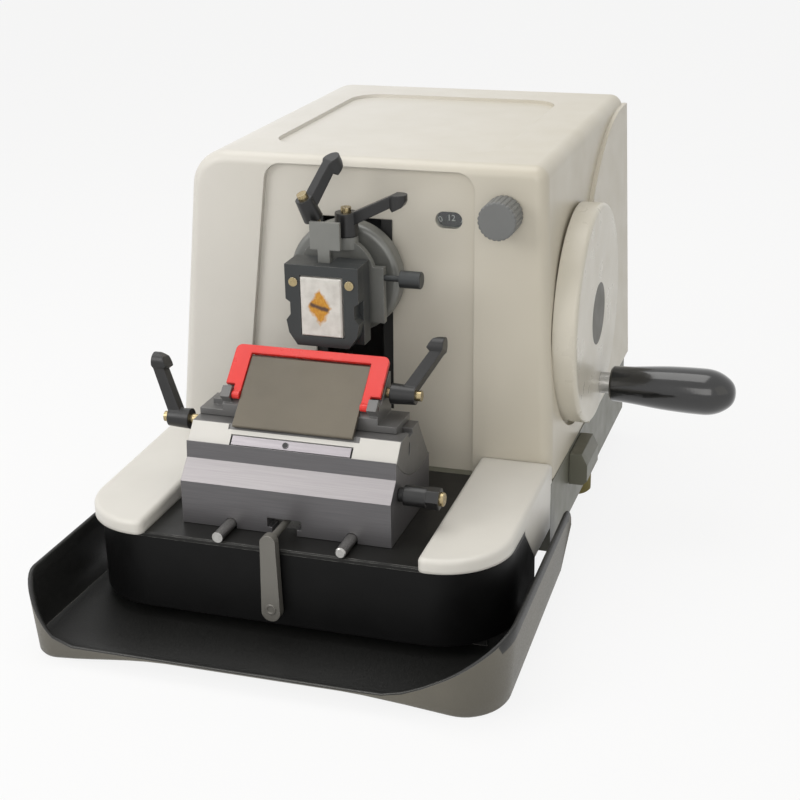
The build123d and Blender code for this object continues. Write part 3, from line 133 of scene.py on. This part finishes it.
def coated(name, colour, mottle, rubbed, rough, grain=900.0, depth=0.00006, edge=0.0004, wear_and_highlight=0.5, **constants):
    """A painted, moulded or coated surface: faint mottle, fine grain and lighter edges, worn on most parts and a
    painted highlight on the black enamel.
    """
    made = Finish(name, edge, **constants)
    cloud = made.span(made.noise(18.0, 5.0), 0.35, 0.68)
    speck = made.noise(grain, 3.0)
    # Edges lightened in patches: wear on most finishes, and a painted highlight on the black enamel of the top plate
    # and apron.
    worn_and_lit_edges = made.rubbed * made.span(made.noise(160.0, 4.0), 0.38, 0.62, 0.15, 1.0) * wear_and_highlight
    body = made.shade(worn_and_lit_edges, made.shade(cloud, colour, mottle), rubbed)
    gloss = made.span(made.noise(60.0, 6.0), 0.3, 0.7, rough - 0.05, rough + 0.07)
    return made.paint(body, gloss, speck, depth)


def dress(finish, *names):
    """Gives CAD nodes the finish."""
    for name in names:
        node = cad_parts[name]
        node.data.materials.clear()
        node.data.materials.append(finish.material)


enamel = coated("cast_enamel", (0.150, 0.150, 0.118), (0.128, 0.128, 0.098), (0.30, 0.29, 0.25), 0.42, 420.0,
                0.00012, 0.0008)
dress(enamel, "base_casting", "brake_lever")


# Top plate and apron: satin black enamel on sheet steel, with a thin painted highlight along the bent edges.
# Painted light: the top plate's copy of the enamel is lighter, for its upturned face lit from above, and its edges
# are painted bright.
lit_top_enamel = coated("lit_top_enamel", (0.0150, 0.0148, 0.0140), (0.0110, 0.0108, 0.0100), (0.50, 0.50, 0.47), 0.36,
                      700.0, 0.00005, 0.0006, 1.0, Specular_IOR_Level=0.22)
dress(lit_top_enamel, "base_top_plate")
# Painted shade: the apron's copy of the same enamel is darker than the top plate's.
shaded_apron_enamel = coated("shaded_apron_enamel", (0.0040, 0.0040, 0.0041), (0.0030, 0.0030, 0.0031), (0.12, 0.12, 0.115), 0.42,
                     700.0, 0.00005, 0.0005, 0.6, Specular_IOR_Level=0.16)
dress(shaded_apron_enamel, "front_apron")

foot_rubber = coated("foot_rubber", (0.20, 0.17, 0.05), (0.16, 0.13, 0.04), (0.28, 0.24, 0.10), 0.7, 500.0)
dress(foot_rubber, "feet")


# Arm rests: moulded white plastic, smoother than the housing, with a soft sheen and rounded edges.
rest_white = coated("rest_white", (0.76, 0.74, 0.69), (0.72, 0.70, 0.65), (0.76, 0.75, 0.72), 0.34, 1400.0,
                    0.00002, 0.0030, 0.1)
dress(rest_white, "handrest_right", "handrest_left")


# Housing: a large white moulding with a fine, even texture that breaks up its highlights.
# It is painted a little darker and more yellow toward the right side: painted shade, as warm as the light on that
# side.
housing_low, housing_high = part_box("housing_cover")
shell = Finish("housing_shell", 0.0009, Coat_Weight=0.0)
shell_x = shell.node("ShaderNodeSeparateXYZ", {}, {0: shell.place}, "X")
# Painted shade: the colour turns darker and yellower toward +x, the side away from the left front lamp.
right_side_shade = shell.span(shell_x, housing_low.x, housing_high.x)
shell_cloud = shell.span(shell.noise(11.0, 5.0), 0.35, 0.7)
shell_body = shell.shade(shell_cloud, (0.74, 0.72, 0.675), (0.70, 0.68, 0.635))
shell_shaded = shell.shade(right_side_shade * 0.75, shell_body, (0.58, 0.53, 0.415))
shell_gloss = shell.span(shell.noise(45.0, 5.0), 0.3, 0.7, 0.30, 0.40)
shell.paint(shell.shade(shell.rubbed * 0.25, shell_shaded, (0.80, 0.78, 0.74)), shell_gloss,
            shell.noise(1500.0, 2.0), 0.00003)
dress(shell, "housing_cover")

seal_rubber = coated("seal_rubber", (0.012, 0.012, 0.012), (0.020, 0.020, 0.019), (0.04, 0.04, 0.04), 0.6, 900.0)
dress(seal_rubber, "slot_seal")

pane = Finish("window_pane", 0.0002, Transmission_Weight=1.0, IOR=1.46)
pane.paint((0.92, 0.95, 0.95, 1.0), pane.span(pane.noise(90.0), 0.3, 0.7, 0.02, 0.08), pane.noise(30.0), 0.00001)
dress(pane, "window_lens")


# Inside of the machine: raw cast iron frame and carriage, ground steel shafts and rails, turned wheels.
cast_iron = coated("raw_casting", (0.085, 0.087, 0.090), (0.060, 0.062, 0.064), (0.24, 0.24, 0.24), 0.55, 380.0,
                   0.00018, 0.0008, 0.6, Metallic=0.6)
dress(cast_iron, "machine_frame", "carriage", "crank_disc")


def ground(name, colour, streaks, rough, stretch, **constants):
    """Ground or turned metal: fine marks one way, darker pits and brighter edges."""
    made = Finish(name, 0.0003, Metallic=1.0, **constants)
    marks = made.noise(420.0, 6.0, stretch)
    tarnish = made.span(made.noise(70.0, 5.0), 0.45, 0.72)
    body = made.shade(tarnish * 0.5, made.shade(made.span(marks, 0.35, 0.65), colour, streaks), streaks)
    return made.paint(made.shade(made.rubbed * 0.5, body, (0.86, 0.85, 0.83)),
                      made.span(marks, 0.3, 0.7, rough - 0.06, rough + 0.10), marks, 0.00003)


steel = ground("ground_steel", (0.52, 0.51, 0.49), (0.36, 0.355, 0.34), 0.30, (1.0, 6.0, 6.0))
dress(steel, "guide_rails", "yoke_plate", "shaft_bearings", "main_shaft", "crank_pin", "handle_spindle",
      "feed_spindle", "ratchet_wheel", "knob_shaft", "dial_bracket", "guide_rods", "tee_bar", "blade")
satin_steel = coated("satin_steel", (0.175, 0.168, 0.150), (0.145, 0.140, 0.126), (0.42, 0.41, 0.38), 0.38, 700.0,
                     0.00002, 0.0008, 0.7, Metallic=0.35)
dress(satin_steel, "base_lever")


# Handwheel and grip: a white enamelled wheel with a gray cap over its hub, and a black turned grip
# with a deep polish on a steel spindle.
wheel_white = coated("wheel_enamel", (0.70, 0.665, 0.575), (0.67, 0.635, 0.545), (0.74, 0.72, 0.66), 0.30, 1400.0,
                     0.00001, 0.0012, 0.2)
dress(wheel_white, "handwheel")

moulded_gray = coated("moulded_gray", (0.175, 0.180, 0.178), (0.145, 0.150, 0.150), (0.30, 0.30, 0.29), 0.40, 900.0)
dress(moulded_gray, "coarse_wheel", "thickness_knob")
cap_gray = coated("cap_gray", (0.078, 0.073, 0.054), (0.064, 0.060, 0.045), (0.22, 0.21, 0.18), 0.45, 900.0)
dress(cap_gray, "hub_cap")

grip_black = coated("polished_black", (0.0055, 0.0055, 0.0058), (0.0075, 0.0075, 0.0075), (0.03, 0.03, 0.03), 0.16,
                    300.0, 0.00001, 0.0006, 0.3, Coat_Weight=0.6, Coat_Roughness=0.06)
dress(grip_black, "handle_grip")


# Specimen head: blue-gray coated disc, swivelling block and release plate in front of the white housing.
head_gray = coated("head_coat", (0.215, 0.218, 0.205), (0.170, 0.174, 0.166), (0.42, 0.42, 0.41), 0.36, 620.0,
                   0.00005, 0.0005, 0.6, Metallic=0.25)
dress(head_gray, "feed_cylinder", "swivel_block", "release_plate")

clamp_gray = coated("clamp_coat", (0.038, 0.042, 0.043), (0.028, 0.031, 0.032), (0.30, 0.30, 0.28), 0.40, 620.0,
                    0.00006, 0.0005, 0.7, Metallic=0.2)
dress(clamp_gray, "clamp_back_plate", "clamp_body", "side_knob")

brass = ground("turned_brass", (0.48, 0.39, 0.22), (0.34, 0.27, 0.15), 0.26, (6.0, 1.0, 1.0))
dress(brass, "clamp_screws", "clamp_lever_screw", "swivel_lever_screw", "segment_lever_screw",
      "holder_lever_screw", "segment_bolt_screw")

lever_black = coated("lever_black", (0.0095, 0.0095, 0.0098), (0.0130, 0.0130, 0.0130), (0.055, 0.055, 0.055), 0.34,
                     1100.0, 0.00003, 0.0012, 0.5)
dress(lever_black, "clamp_lever", "swivel_lever", "segment_lever", "holder_lever", "segment_bolt")


# Cassette with its wax block: white plastic, and cloudy paraffin round a yellow-orange slice of tissue.
# The tissue is an upright lozenge with a dark streak down its middle.
cassette_white = coated("cassette_plastic", (0.70, 0.69, 0.65), (0.64, 0.63, 0.59), (0.80, 0.80, 0.78), 0.5, 1200.0)
dress(cassette_white, "cassette")

wax_low, wax_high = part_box("paraffin_block")
wax_middle = (wax_low + wax_high) / 2
wax_half = (wax_high - wax_low) / 2
wax = Finish("paraffin", 0.0006, Subsurface_Weight=0.0)
wax_where = wax.node("ShaderNodeSeparateXYZ", {}, {0: wax.place}, "X")
wax_height = wax.node("ShaderNodeSeparateXYZ", {}, {0: wax.place}, "Z")


def away(finish, reading, centre, half):
    """Distance from a centre as a share of a half width, whichever side."""
    return finish.node("ShaderNodeMath", {"operation": "ABSOLUTE"}, {0: (reading - centre) * (1 / half)})


tissue_x = wax_middle.x - wax_half.x * 0.06
across_wax = away(wax, wax_where, tissue_x, wax_half.x * 0.62)
up_wax = away(wax, wax_height, wax_middle.z, wax_half.z * 0.66)
ragged = (wax.noise(300.0, 5.0) - 0.5) * 0.7
tissue = wax.span(across_wax + up_wax + ragged, 0.80, 1.06, 1.0, 0.0)
streak_z = wax_middle.z - (wax_where - tissue_x) * 0.25
streak_height = wax.node("ShaderNodeMath", {"operation": "ABSOLUTE"}, {0: (wax_height - streak_z) * (1 / 0.0013)})
streak_reach = away(wax, wax_where, tissue_x, wax_half.x * 0.48)
streak = (wax.span(streak_height + ragged * 2.2, 0.5, 1.5, 1.0, 0.0)
          * wax.span(streak_reach + ragged, 0.75, 1.05, 1.0, 0.0))
fibre = wax.span(wax.noise(520.0, 5.0, (3.0, 1.0, 1.0)), 0.35, 0.65)
tissue_tone = wax.shade(streak, wax.shade(fibre, (0.64, 0.33, 0.035), (0.52, 0.21, 0.015)), (0.10, 0.050, 0.030))
wax_tone = wax.shade(wax.span(wax.noise(130.0, 4.0), 0.4, 0.65), (0.72, 0.70, 0.66), (0.60, 0.58, 0.54))
wax.paint(wax.shade(tissue, wax_tone, tissue_tone), wax.span(fibre, 0.0, 1.0, 0.38, 0.52),
          wax.noise(340.0, 4.0), 0.00010)
dress(wax, "paraffin_block")


# Thickness dial: a black printed disc behind the oval window, with white numbers round its rim.
# The disc turns with the knob, so every number lies on it, upright when it comes under the window.
dial_black = coated("dial_face", (0.010, 0.010, 0.011), (0.014, 0.014, 0.014), (0.05, 0.05, 0.05), 0.4, 1200.0)
dress(dial_black, "dial_disc")
print_white = coated("printed_white", (0.75, 0.75, 0.72), (0.68, 0.68, 0.65), (0.80, 0.80, 0.78), 0.5, 1500.0)

dial_low, dial_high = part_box("dial_disc")
dial_middle = (dial_low + dial_high) / 2
number_radius = 0.0224
number_height = 0.0058
numbers = (12, 15, 20, 25, 30, 40, 50, 60, 1, 2, 3, 4, 5, 6, 8, 10)
printed = []
for count, number in enumerate(numbers):
    turn = -2 * pi * count / len(numbers)
    curve = bpy.data.curves.new("number", "FONT")
    curve.body = str(number)
    curve.size = number_height
    curve.extrude = 0.00004
    curve.resolution_u = 2
    curve.align_x = "CENTER"
    curve.align_y = "CENTER"
    lettered = bpy.data.objects.new(f"dial_number_{count}", curve)
    bpy.context.scene.collection.objects.link(lettered)
    upright = Matrix.Rotation(pi / 2, 4, "X")
    spot = Vector((dial_middle.x, dial_low.y - 0.00006, dial_middle.z))
    spoke = Matrix.Rotation(-turn, 4, "Y") @ Matrix.Translation((0, 0, number_radius))
    lettered.matrix_world = Matrix.Translation(spot) @ spoke @ upright
    lettered.data.materials.append(print_white.material)
    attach(lettered, "dial")
    printed.append(lettered)


# Knife base, segment and blade holder: aluminium with a dark gray anodised skin, milled in one direction.
# The base's long chamfer is cut bright and shows its brushing; the strip on the segment is silver too.
block_low, block_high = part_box("knife_base")
chamfer_foot = 0.102
chamfer_top = 0.1125
anodised = Finish("dark_anodised", 0.0005, Metallic=0.45)
milling = anodised.noise(1500.0, 4.0, (0.02, 1.0, 1.0))
anodised_body = anodised.shade(anodised.span(milling, 0.35, 0.65), (0.140, 0.136, 0.142), (0.122, 0.119, 0.124))
facing_up = anodised.node("ShaderNodeSeparateXYZ", {}, {
    0: anodised.node("ShaderNodeNewGeometry", {}, {}, "Normal")}, "Z")
facing_front = anodised.node("ShaderNodeSeparateXYZ", {}, {
    0: anodised.node("ShaderNodeNewGeometry", {}, {}, "Normal")}, "Y")
height = anodised.node("ShaderNodeSeparateXYZ", {}, {0: anodised.place}, "Z")
slanted = anodised.span(facing_up, 0.4, 0.5) * anodised.span(facing_up, 0.86, 0.93, 1.0, 0.0)
bright_cut = slanted * anodised.span(facing_front, -0.35, -0.3, 1.0, 0.0) * (height < chamfer_top + 0.001)
silver = anodised.shade(anodised.span(milling, 0.3, 0.7), (0.400, 0.378, 0.385), (0.345, 0.325, 0.335))
anodised.paint(anodised.shade(bright_cut, anodised.shade(anodised.rubbed * 0.5, anodised_body, (0.45, 0.44, 0.44)),
                              silver),
               anodised.span(milling, 0.3, 0.7, 0.36, 0.44), milling, 0.00001)
dress(anodised, "knife_base")
holder_gray = coated("holder_gray", (0.160, 0.158, 0.156), (0.125, 0.123, 0.122), (0.36, 0.36, 0.35), 0.36, 900.0,
                     0.00003, 0.0005, 0.7, Metallic=0.4)
dress(holder_gray, "segment", "blade_holder")

# Under the pressure plate the segment's front bevel is painted black between the two white fields: a painted shadow
# of the gap under the plate.
segment_coat_shadowed = coated("segment_coat_shadowed", (0.160, 0.158, 0.156), (0.125, 0.123, 0.122), (0.36, 0.36, 0.35), 0.36, 900.0,
                      0.00003, 0.0005, 0.7, Metallic=0.4)
segment_x = segment_coat_shadowed.node("ShaderNodeSeparateXYZ", {}, {0: segment_coat_shadowed.place}, "X")
segment_y = segment_coat_shadowed.node("ShaderNodeSeparateXYZ", {}, {0: segment_coat_shadowed.place}, "Y")
block_middle = (block_low.x + block_high.x) / 2
painted_shadow_band = (segment_y < block_low.y + 0.0190) * (away(segment_coat_shadowed, segment_x, block_middle, 0.0430) < 1.0)
segment_colour = segment_coat_shadowed.surface.inputs["Base Color"].links[0].from_socket
segment_coat_shadowed.feed(segment_coat_shadowed.surface.inputs["Base Color"], segment_coat_shadowed.shade(
    painted_shadow_band, Reading(segment_coat_shadowed, segment_colour), (0.008, 0.008, 0.008)))
dress(segment_coat_shadowed, "segment")

strip_low, strip_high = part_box("retaining_strip")
silver_strip = ground("brushed_strip", (0.37, 0.345, 0.36), (0.31, 0.29, 0.305), 0.36, (0.05, 1.0, 1.0))
screw_spot = Vector((strip_low.x + 0.0360, (strip_low.y + strip_high.y) / 2, (strip_low.z + strip_high.z) / 2))
from_screw = silver_strip.node("ShaderNodeVectorMath", {"operation": "DISTANCE"}, {
    0: silver_strip.place, 1: screw_spot}, "Value")
strip_colour = silver_strip.surface.inputs["Base Color"].links[0].from_socket
silver_strip.feed(silver_strip.surface.inputs["Base Color"], silver_strip.shade(
    silver_strip.span(from_screw, 0.0019, 0.0023, 1.0, 0.0), Reading(silver_strip, strip_colour), (0.05, 0.05, 0.05)))
dress(silver_strip, "retaining_strip")

hard_coat = coated("plate_coat", (0.140, 0.122, 0.092), (0.112, 0.099, 0.076), (0.42, 0.40, 0.36), 0.42, 500.0,
                   0.00007, 0.0004, 0.8, Metallic=0.3)
dress(hard_coat, "pressure_plate")


# Bare plate on the segment: one thin white sheet on its front bevel, cut out at the bottom for the silver
# strip. It is left blank.
segment_low, segment_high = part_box("segment")
bevel_top = Vector((0.0, -0.0978 - 0.03925, 0.133))
bevel_foot = Vector((0.0, -0.108 - 0.03925, 0.1215))
down = (bevel_foot - bevel_top).normalized()
outward = Vector((0.0, down.z, -down.y))
bevel_length = (bevel_foot - bevel_top).length
notch_side = 0.0012
notch_top = 0.0072
gap_depth = 0.0042
sheet_thickness = 0.0007


def flat_sheet(name, outline, corner, first, second, thickness, finish, body):
    """A sheet cut to an outline that is given along two directions from a corner."""
    mesh = bmesh.new()
    lifted = first.cross(second).normalized()
    lower = [mesh.verts.new(corner + first * a + second * b) for a, b in outline]
    face = mesh.faces.new(lower)
    grown = bmesh.ops.extrude_face_region(mesh, geom=[face])
    moved = [item for item in grown["geom"] if isinstance(item, bmesh.types.BMVert)]
    bmesh.ops.translate(mesh, verts=moved, vec=lifted * thickness)
    bmesh.ops.recalc_face_normals(mesh, faces=mesh.faces)
    data = bpy.data.meshes.new(name)
    mesh.to_mesh(data)
    mesh.free()
    piece = bpy.data.objects.new(name, data)
    bpy.context.scene.collection.objects.link(piece)
    rounding = piece.modifiers.new("rounding", "BEVEL")
    rounding.width = thickness * 0.3
    rounding.segments = 2
    data.materials.append(finish.material)
    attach(piece, body)
    return piece


plate_white = coated("plate_white", (0.68, 0.665, 0.63), (0.64, 0.625, 0.59), (0.70, 0.70, 0.68), 0.38, 1300.0,
                     0.00002, 0.0003, 0.3)
left_end, right_end = segment_low.x + 0.0003, segment_high.x - 0.0003
notch_left, notch_right = strip_low.x - notch_side, strip_high.x + notch_side
step_left, step_right = notch_left - 0.003, notch_right + 0.003
plate_outline = [(left_end, 0.0006), (step_left, 0.0006), (step_left, gap_depth), (step_right, gap_depth),
                 (step_right, 0.0006), (right_end, 0.0006), (right_end, bevel_length), (notch_right, bevel_length),
                 (notch_right, notch_top), (notch_left, notch_top), (notch_left, bevel_length),
                 (left_end, bevel_length)]
flat_sheet("segment_plate", plate_outline, bevel_top - outward * -0.00008, Vector((1.0, 0.0, 0.0)), down,
           -sheet_thickness, plate_white, "knife_segment")


# Finger guard: glossy red moulding. The waste tray: grained plastic, black inside and gray-olive outside.
guard_red = coated("guard_red", (0.80, 0.030, 0.022), (0.72, 0.022, 0.016), (0.84, 0.14, 0.11), 0.30, 700.0,
                   0.00002, 0.0012, 0.4, Coat_Weight=0.1, Coat_Roughness=0.10)
dress(guard_red, "finger_guard")

tray = Finish("tray_plastic", 0.0007)
tray_normal = tray.node("ShaderNodeNewGeometry", {}, {}, "Normal")
tray_up = tray.node("ShaderNodeSeparateXYZ", {}, {0: tray_normal}, "Z")
outside = tray.span(tray_up, -0.07, -0.03, 1.0, 0.0)
rim = tray.span(tray.rubbed, 0.1, 0.5) * 0.8
grain = tray.noise(900.0, 4.0)
inner_tone = tray.shade(tray.span(grain, 0.4, 0.65), (0.0060, 0.0062, 0.0058), (0.0110, 0.0110, 0.0100))
outer_tone = tray.shade(tray.span(tray.noise(14.0, 4.0), 0.35, 0.7), (0.135, 0.124, 0.096), (0.105, 0.098, 0.080))
tray.paint(tray.shade(rim, tray.shade(outside, inner_tone, outer_tone), (0.30, 0.29, 0.27)),
           tray.span(grain, 0.3, 0.7, 0.40, 0.56), grain, 0.00010)
dress(tray, "waste_tray")


# The tray's shell: low flared walls whose rim stays level along both sides and sweeps down round the front
# corners to a thin lip. Its foot is arched up between the corners, and its floor reaches under the apron.
def rounded_outline(rear_left, front_left, front_right, rear_right, radii, run_steps=20, turn_steps=12):
    """Points round three sides, from the left rear: straight runs joined by two round corners."""
    points = []
    start = rear_left
    bends = ((rear_left, front_left, front_right), (front_left, front_right, rear_right))
    for (before, corner, after), radius in zip(bends, radii):
        back = (before - corner).normalized() * radius
        onward = (after - corner).normalized() * radius
        crowd = 1.6 if start is rear_left else 1.0
        points += [start.lerp(corner + back, (step / run_steps) ** crowd) for step in range(run_steps)]
        for step in range(turn_steps):
            turn = pi / 2 * step / turn_steps
            points.append(corner + back * (1 - sin(turn)) + onward * (1 - cos(turn)))
        start = corner + onward
    points += [start.lerp(rear_right, 1 - (1 - step / run_steps) ** 1.6) for step in range(run_steps + 1)]
    return points


def eased(share):
    """A smooth step from 0 to 1."""
    share = min(max(share, 0.0), 1.0)
    return share * share * (3 - 2 * share)


tray_low, tray_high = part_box("waste_tray")
apron_low, apron_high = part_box("front_apron")
rim_height = 0.053
left_sweep = 0.048
right_sweep = 0.100
rear_round = 0.014
lip_height = 0.013
arch_height = 0.0095
floor_top = 0.011
floor_under = 0.008
wall = 0.003
corner_fillet = 0.004
floor_reach = 0.007
side_rear = tray_high.y + 0.060
ledge_y = tray_low.y + 0.0786
rim = rounded_outline(Vector((tray_low.x + 0.0015, side_rear)), Vector((tray_low.x, tray_low.y + 0.0001)),
                      Vector((tray_high.x - 0.0020, tray_low.y + 0.0015)),
                      Vector((tray_high.x - 0.0060, side_rear)), (0.024, 0.036))
foot = rounded_outline(Vector((tray_low.x + 0.0095, side_rear)), Vector((tray_low.x + 0.0035, tray_low.y + 0.0035)),
                       Vector((tray_high.x - 0.0065, tray_low.y + 0.0090)),
                       Vector((tray_high.x - 0.0130, side_rear)), (0.020, 0.030))
along_rim = [0.0]
for before, after in zip(rim, rim[1:]):
    along_rim.append(along_rim[-1] + (after - before).length)
left_bend = along_rim[20]
right_bend = along_rim[-21]


def tray_section(count):
    """One cross-section of the wall, from the floor inside over the rim to the underside."""
    past_left = along_rim[count] - left_bend
    past_right = right_bend - along_rim[count]
    fall = min(eased(past_left / left_sweep), eased(past_right / right_sweep))
    top = rim_height - (rim_height - lip_height) * fall
    to_end = min(along_rim[count], along_rim[-1] - along_rim[count])
    if to_end < rear_round:
        top -= rear_round - (rear_round ** 2 - (rear_round - to_end) ** 2) ** 0.5
    lift = arch_height * min(eased((past_left - 0.025) / 0.090), eased((past_right - 0.040) / 0.080))
    ahead_point = rim[min(count + 1, len(rim) - 1)]
    behind_point = rim[max(count - 1, 0)]
    inward = Vector((behind_point.y - ahead_point.y, ahead_point.x - behind_point.x)).normalized()
    reach = floor_reach if rim[count].y < tray_high.y - 0.009 else wall + 0.0005

    def at(height, inset):
        spot = foot[count].lerp(rim[count], height / top) + inward * inset
        return Vector((spot.x, spot.y, height))

    fillet = min(corner_fillet, (top - floor_top - 0.0015) * 0.5)
    wall_foot = floor_top + fillet
    wall_head = top - 0.0012
    section = [at(floor_top, reach), at(floor_top + fillet * 0.25, wall + (reach - wall) * 0.25)]
    section += [at(wall_foot + (wall_head - wall_foot) * step / 4, wall) for step in range(5)]
    section += [at(top - 0.0003, wall * 0.78), at(top, wall * 0.5), at(top - 0.0003, wall * 0.22)]
    low = lift + 0.002
    section += [at(wall_head + (low - wall_head) * step / 5, 0.0) for step in range(6)]
    section += [at(lift + 0.0004, 0.0010), at(lift, 0.0025), at(floor_under, reach)]
    return section


shell_mesh = bmesh.new()
rings = [[shell_mesh.verts.new(point) for point in tray_section(count)] for count in range(len(rim))]
for first_ring, second_ring in zip(rings, rings[1:]):
    for low_pair, high_pair in zip(zip(first_ring, second_ring), zip(first_ring[1:], second_ring[1:])):
        shell_mesh.faces.new((low_pair[0], low_pair[1], high_pair[1], high_pair[0]))
floor_rings = [ring for ring in rings if ring[0].co.y < tray_high.y - 0.009]
first_floor = rings.index(floor_rings[0])
last_floor = rings.index(floor_rings[-1])
for count in list(range(first_floor)) + list(range(last_floor, len(rings) - 1)):
    first_ring, second_ring = rings[count], rings[count + 1]
    shell_mesh.faces.new((first_ring[0], first_ring[-1], second_ring[-1], second_ring[0]))
shell_mesh.faces.new(rings[0])
shell_mesh.faces.new(rings[-1])
rear_y = floor_rings[0][0].co.y
strip = 0.0165
rear_path = [(apron_high.x - strip, rear_y), (apron_high.x - strip, ledge_y), (apron_low.x + strip, ledge_y),
             (apron_low.x + strip, rear_y)]
rear_top = [shell_mesh.verts.new((x, y, floor_top)) for x, y in rear_path]
rear_under = [shell_mesh.verts.new((x, y, floor_under)) for x, y in rear_path]
shell_mesh.faces.new([ring[0] for ring in floor_rings] + rear_top)
shell_mesh.faces.new([ring[-1] for ring in floor_rings] + rear_under)
edge_top = [floor_rings[-1][0], *rear_top, floor_rings[0][0]]
edge_under = [floor_rings[-1][-1], *rear_under, floor_rings[0][-1]]
for count in range(len(edge_top) - 1):
    shell_mesh.faces.new((edge_top[count], edge_top[count + 1], edge_under[count + 1], edge_under[count]))
ledge = bmesh.ops.create_cube(shell_mesh, size=1.0)["verts"]
ledge_height = apron_low.z - 0.0003 - floor_top
bmesh.ops.scale(shell_mesh, verts=ledge, vec=(apron_high.x - apron_low.x - 2 * strip + 0.006, wall, ledge_height))
bmesh.ops.translate(shell_mesh, verts=ledge, vec=((apron_high.x + apron_low.x) / 2, ledge_y - wall / 2,
                                                  floor_top + ledge_height / 2))
bmesh.ops.recalc_face_normals(shell_mesh, faces=shell_mesh.faces)
shell_data = bpy.data.meshes.new("tray_shell")
shell_mesh.to_mesh(shell_data)
shell_mesh.free()
shell_data.polygons.foreach_set("use_smooth", [True] * len(shell_data.polygons))
shell_data.set_sharp_from_angle(angle=radians(40))
shell_data.materials.append(tray.material)
tray_shell = bpy.data.objects.new("tray_shell", shell_data)
bpy.context.scene.collection.objects.link(tray_shell)
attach(tray_shell, "tray")
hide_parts("waste_tray")


# Room: a pale floor and white surroundings, a big soft lamp above, one nearer at the left front that
# gives the housing its falloff, a weak one at the right, and the camera where the photograph was taken.
def surround(tree, lit, seen):
    """White for the camera, gloss and glass, and another shader for all other light."""
    path = tree.nodes.new("ShaderNodeLightPath")
    seen_by = tree.nodes.new("ShaderNodeMath")
    seen_by.operation = "MAXIMUM"
    tree.links.new(path.outputs["Is Camera Ray"], seen_by.inputs[0])
    glossy = tree.nodes.new("ShaderNodeMath")
    glossy.operation = "MAXIMUM"
    tree.links.new(path.outputs["Is Glossy Ray"], glossy.inputs[0])
    tree.links.new(path.outputs["Is Transmission Ray"], glossy.inputs[1])
    tree.links.new(glossy.outputs[0], seen_by.inputs[1])
    share = tree.nodes.new("ShaderNodeMath")
    share.operation = "MULTIPLY"
    tree.links.new(seen_by.outputs[0], share.inputs[0])
    share.inputs[1].default_value = seen
    joined = tree.nodes.new("ShaderNodeMixShader")
    white = tree.nodes.new("ShaderNodeEmission" if lit.type != "BACKGROUND" else "ShaderNodeBackground")
    white.inputs["Color"].default_value = (1.0, 1.0, 1.0, 1.0)
    white.inputs["Strength"].default_value = 1.0
    tree.links.new(share.outputs[0], joined.inputs[0])
    tree.links.new(lit.outputs[0], joined.inputs[1])
    tree.links.new(white.outputs[0], joined.inputs[2])
    return joined


world = bpy.data.worlds.new("studio")
world.use_nodes = True
bpy.context.scene.world = world
ambient = world.node_tree.nodes["Background"]
ambient.inputs["Color"].default_value = (1.0, 0.985, 0.95, 1.0)
ambient.inputs["Strength"].default_value = 0.42
world.node_tree.links.new(surround(world.node_tree, ambient, 1.0).outputs[0],
                          world.node_tree.nodes["World Output"].inputs["Surface"])

floor_mesh = bmesh.new()
bmesh.ops.create_grid(floor_mesh, x_segments=8, y_segments=8, size=6.0)
floor_data = bpy.data.meshes.new("floor")
floor_mesh.to_mesh(floor_data)
floor_mesh.free()
floor = bpy.data.objects.new("floor", floor_data)
bpy.context.scene.collection.objects.link(floor)
floor.location.z = -0.0001
floor_material = bpy.data.materials.new("pale_floor")
floor_material.use_nodes = True
floor_paint = floor_material.node_tree.nodes["Principled BSDF"]
floor_paint.inputs["Base Color"].default_value = (0.80, 0.80, 0.80, 1.0)
floor_paint.inputs["Roughness"].default_value = 0.9
floor_material.node_tree.links.new(surround(floor_material.node_tree, floor_paint, 0.86).outputs[0],
                                   floor_material.node_tree.nodes["Material Output"].inputs["Surface"])
floor.data.materials.append(floor_material)


def lamp(name, place, aim, size, watts, colour):
    """A square soft lamp at a place, turned to a point."""
    light = bpy.data.lights.new(name, "AREA")
    light.size = size
    light.energy = watts
    light.color = colour
    made = bpy.data.objects.new(name, light)
    made.location = place
    made.rotation_euler = (Vector(aim) - Vector(place)).to_track_quat("-Z", "Y").to_euler()
    bpy.context.scene.collection.objects.link(made)


lamp("overhead", (-0.25, 0.05, 1.45), (0.0, 0.0, 0.15), 1.1, 8.2, (1.0, 0.99, 0.97))
lamp("left_front", (-0.75, -0.75, 0.75), (-0.05, 0.0, 0.17), 0.6, 3.8, (1.0, 0.99, 0.98))
lamp("right_fill", (1.1, -0.5, 0.6), (0.0, 0.0, 0.15), 0.8, 0.5, (1.0, 0.90, 0.72))
lamp("front_fill", (0.35, -1.6, 0.7), (0.0, -0.1, 0.1), 0.9, 5.0, (1.0, 0.98, 0.95))

azimuth, elevation, roll = radians(18.2), radians(21.3), radians(-1.1)
ahead = Vector((-sin(azimuth) * cos(elevation), cos(azimuth) * cos(elevation), -sin(elevation)))
level_right = ahead.cross(Vector((0.0, 0.0, 1.0))).normalized()
level_up = level_right.cross(ahead)
right = level_right * cos(roll) + level_up * sin(roll)
up = level_up * cos(roll) - level_right * sin(roll)
view = bpy.data.cameras.new("camera")
view.sensor_width = 36.0
view.lens = 1544.1 * 36.0 / 800
camera = bpy.data.objects.new("camera", view)
stand = Vector((0.3366 - 0.0445, -0.9213 - 0.03925, 0.4982))
camera.matrix_world = Matrix.Translation(stand) @ Matrix((right, up, -ahead)).transposed().to_4x4()
bpy.context.scene.collection.objects.link(camera)
bpy.context.scene.camera = camera
bpy.context.scene.view_settings.view_transform = "Standard"
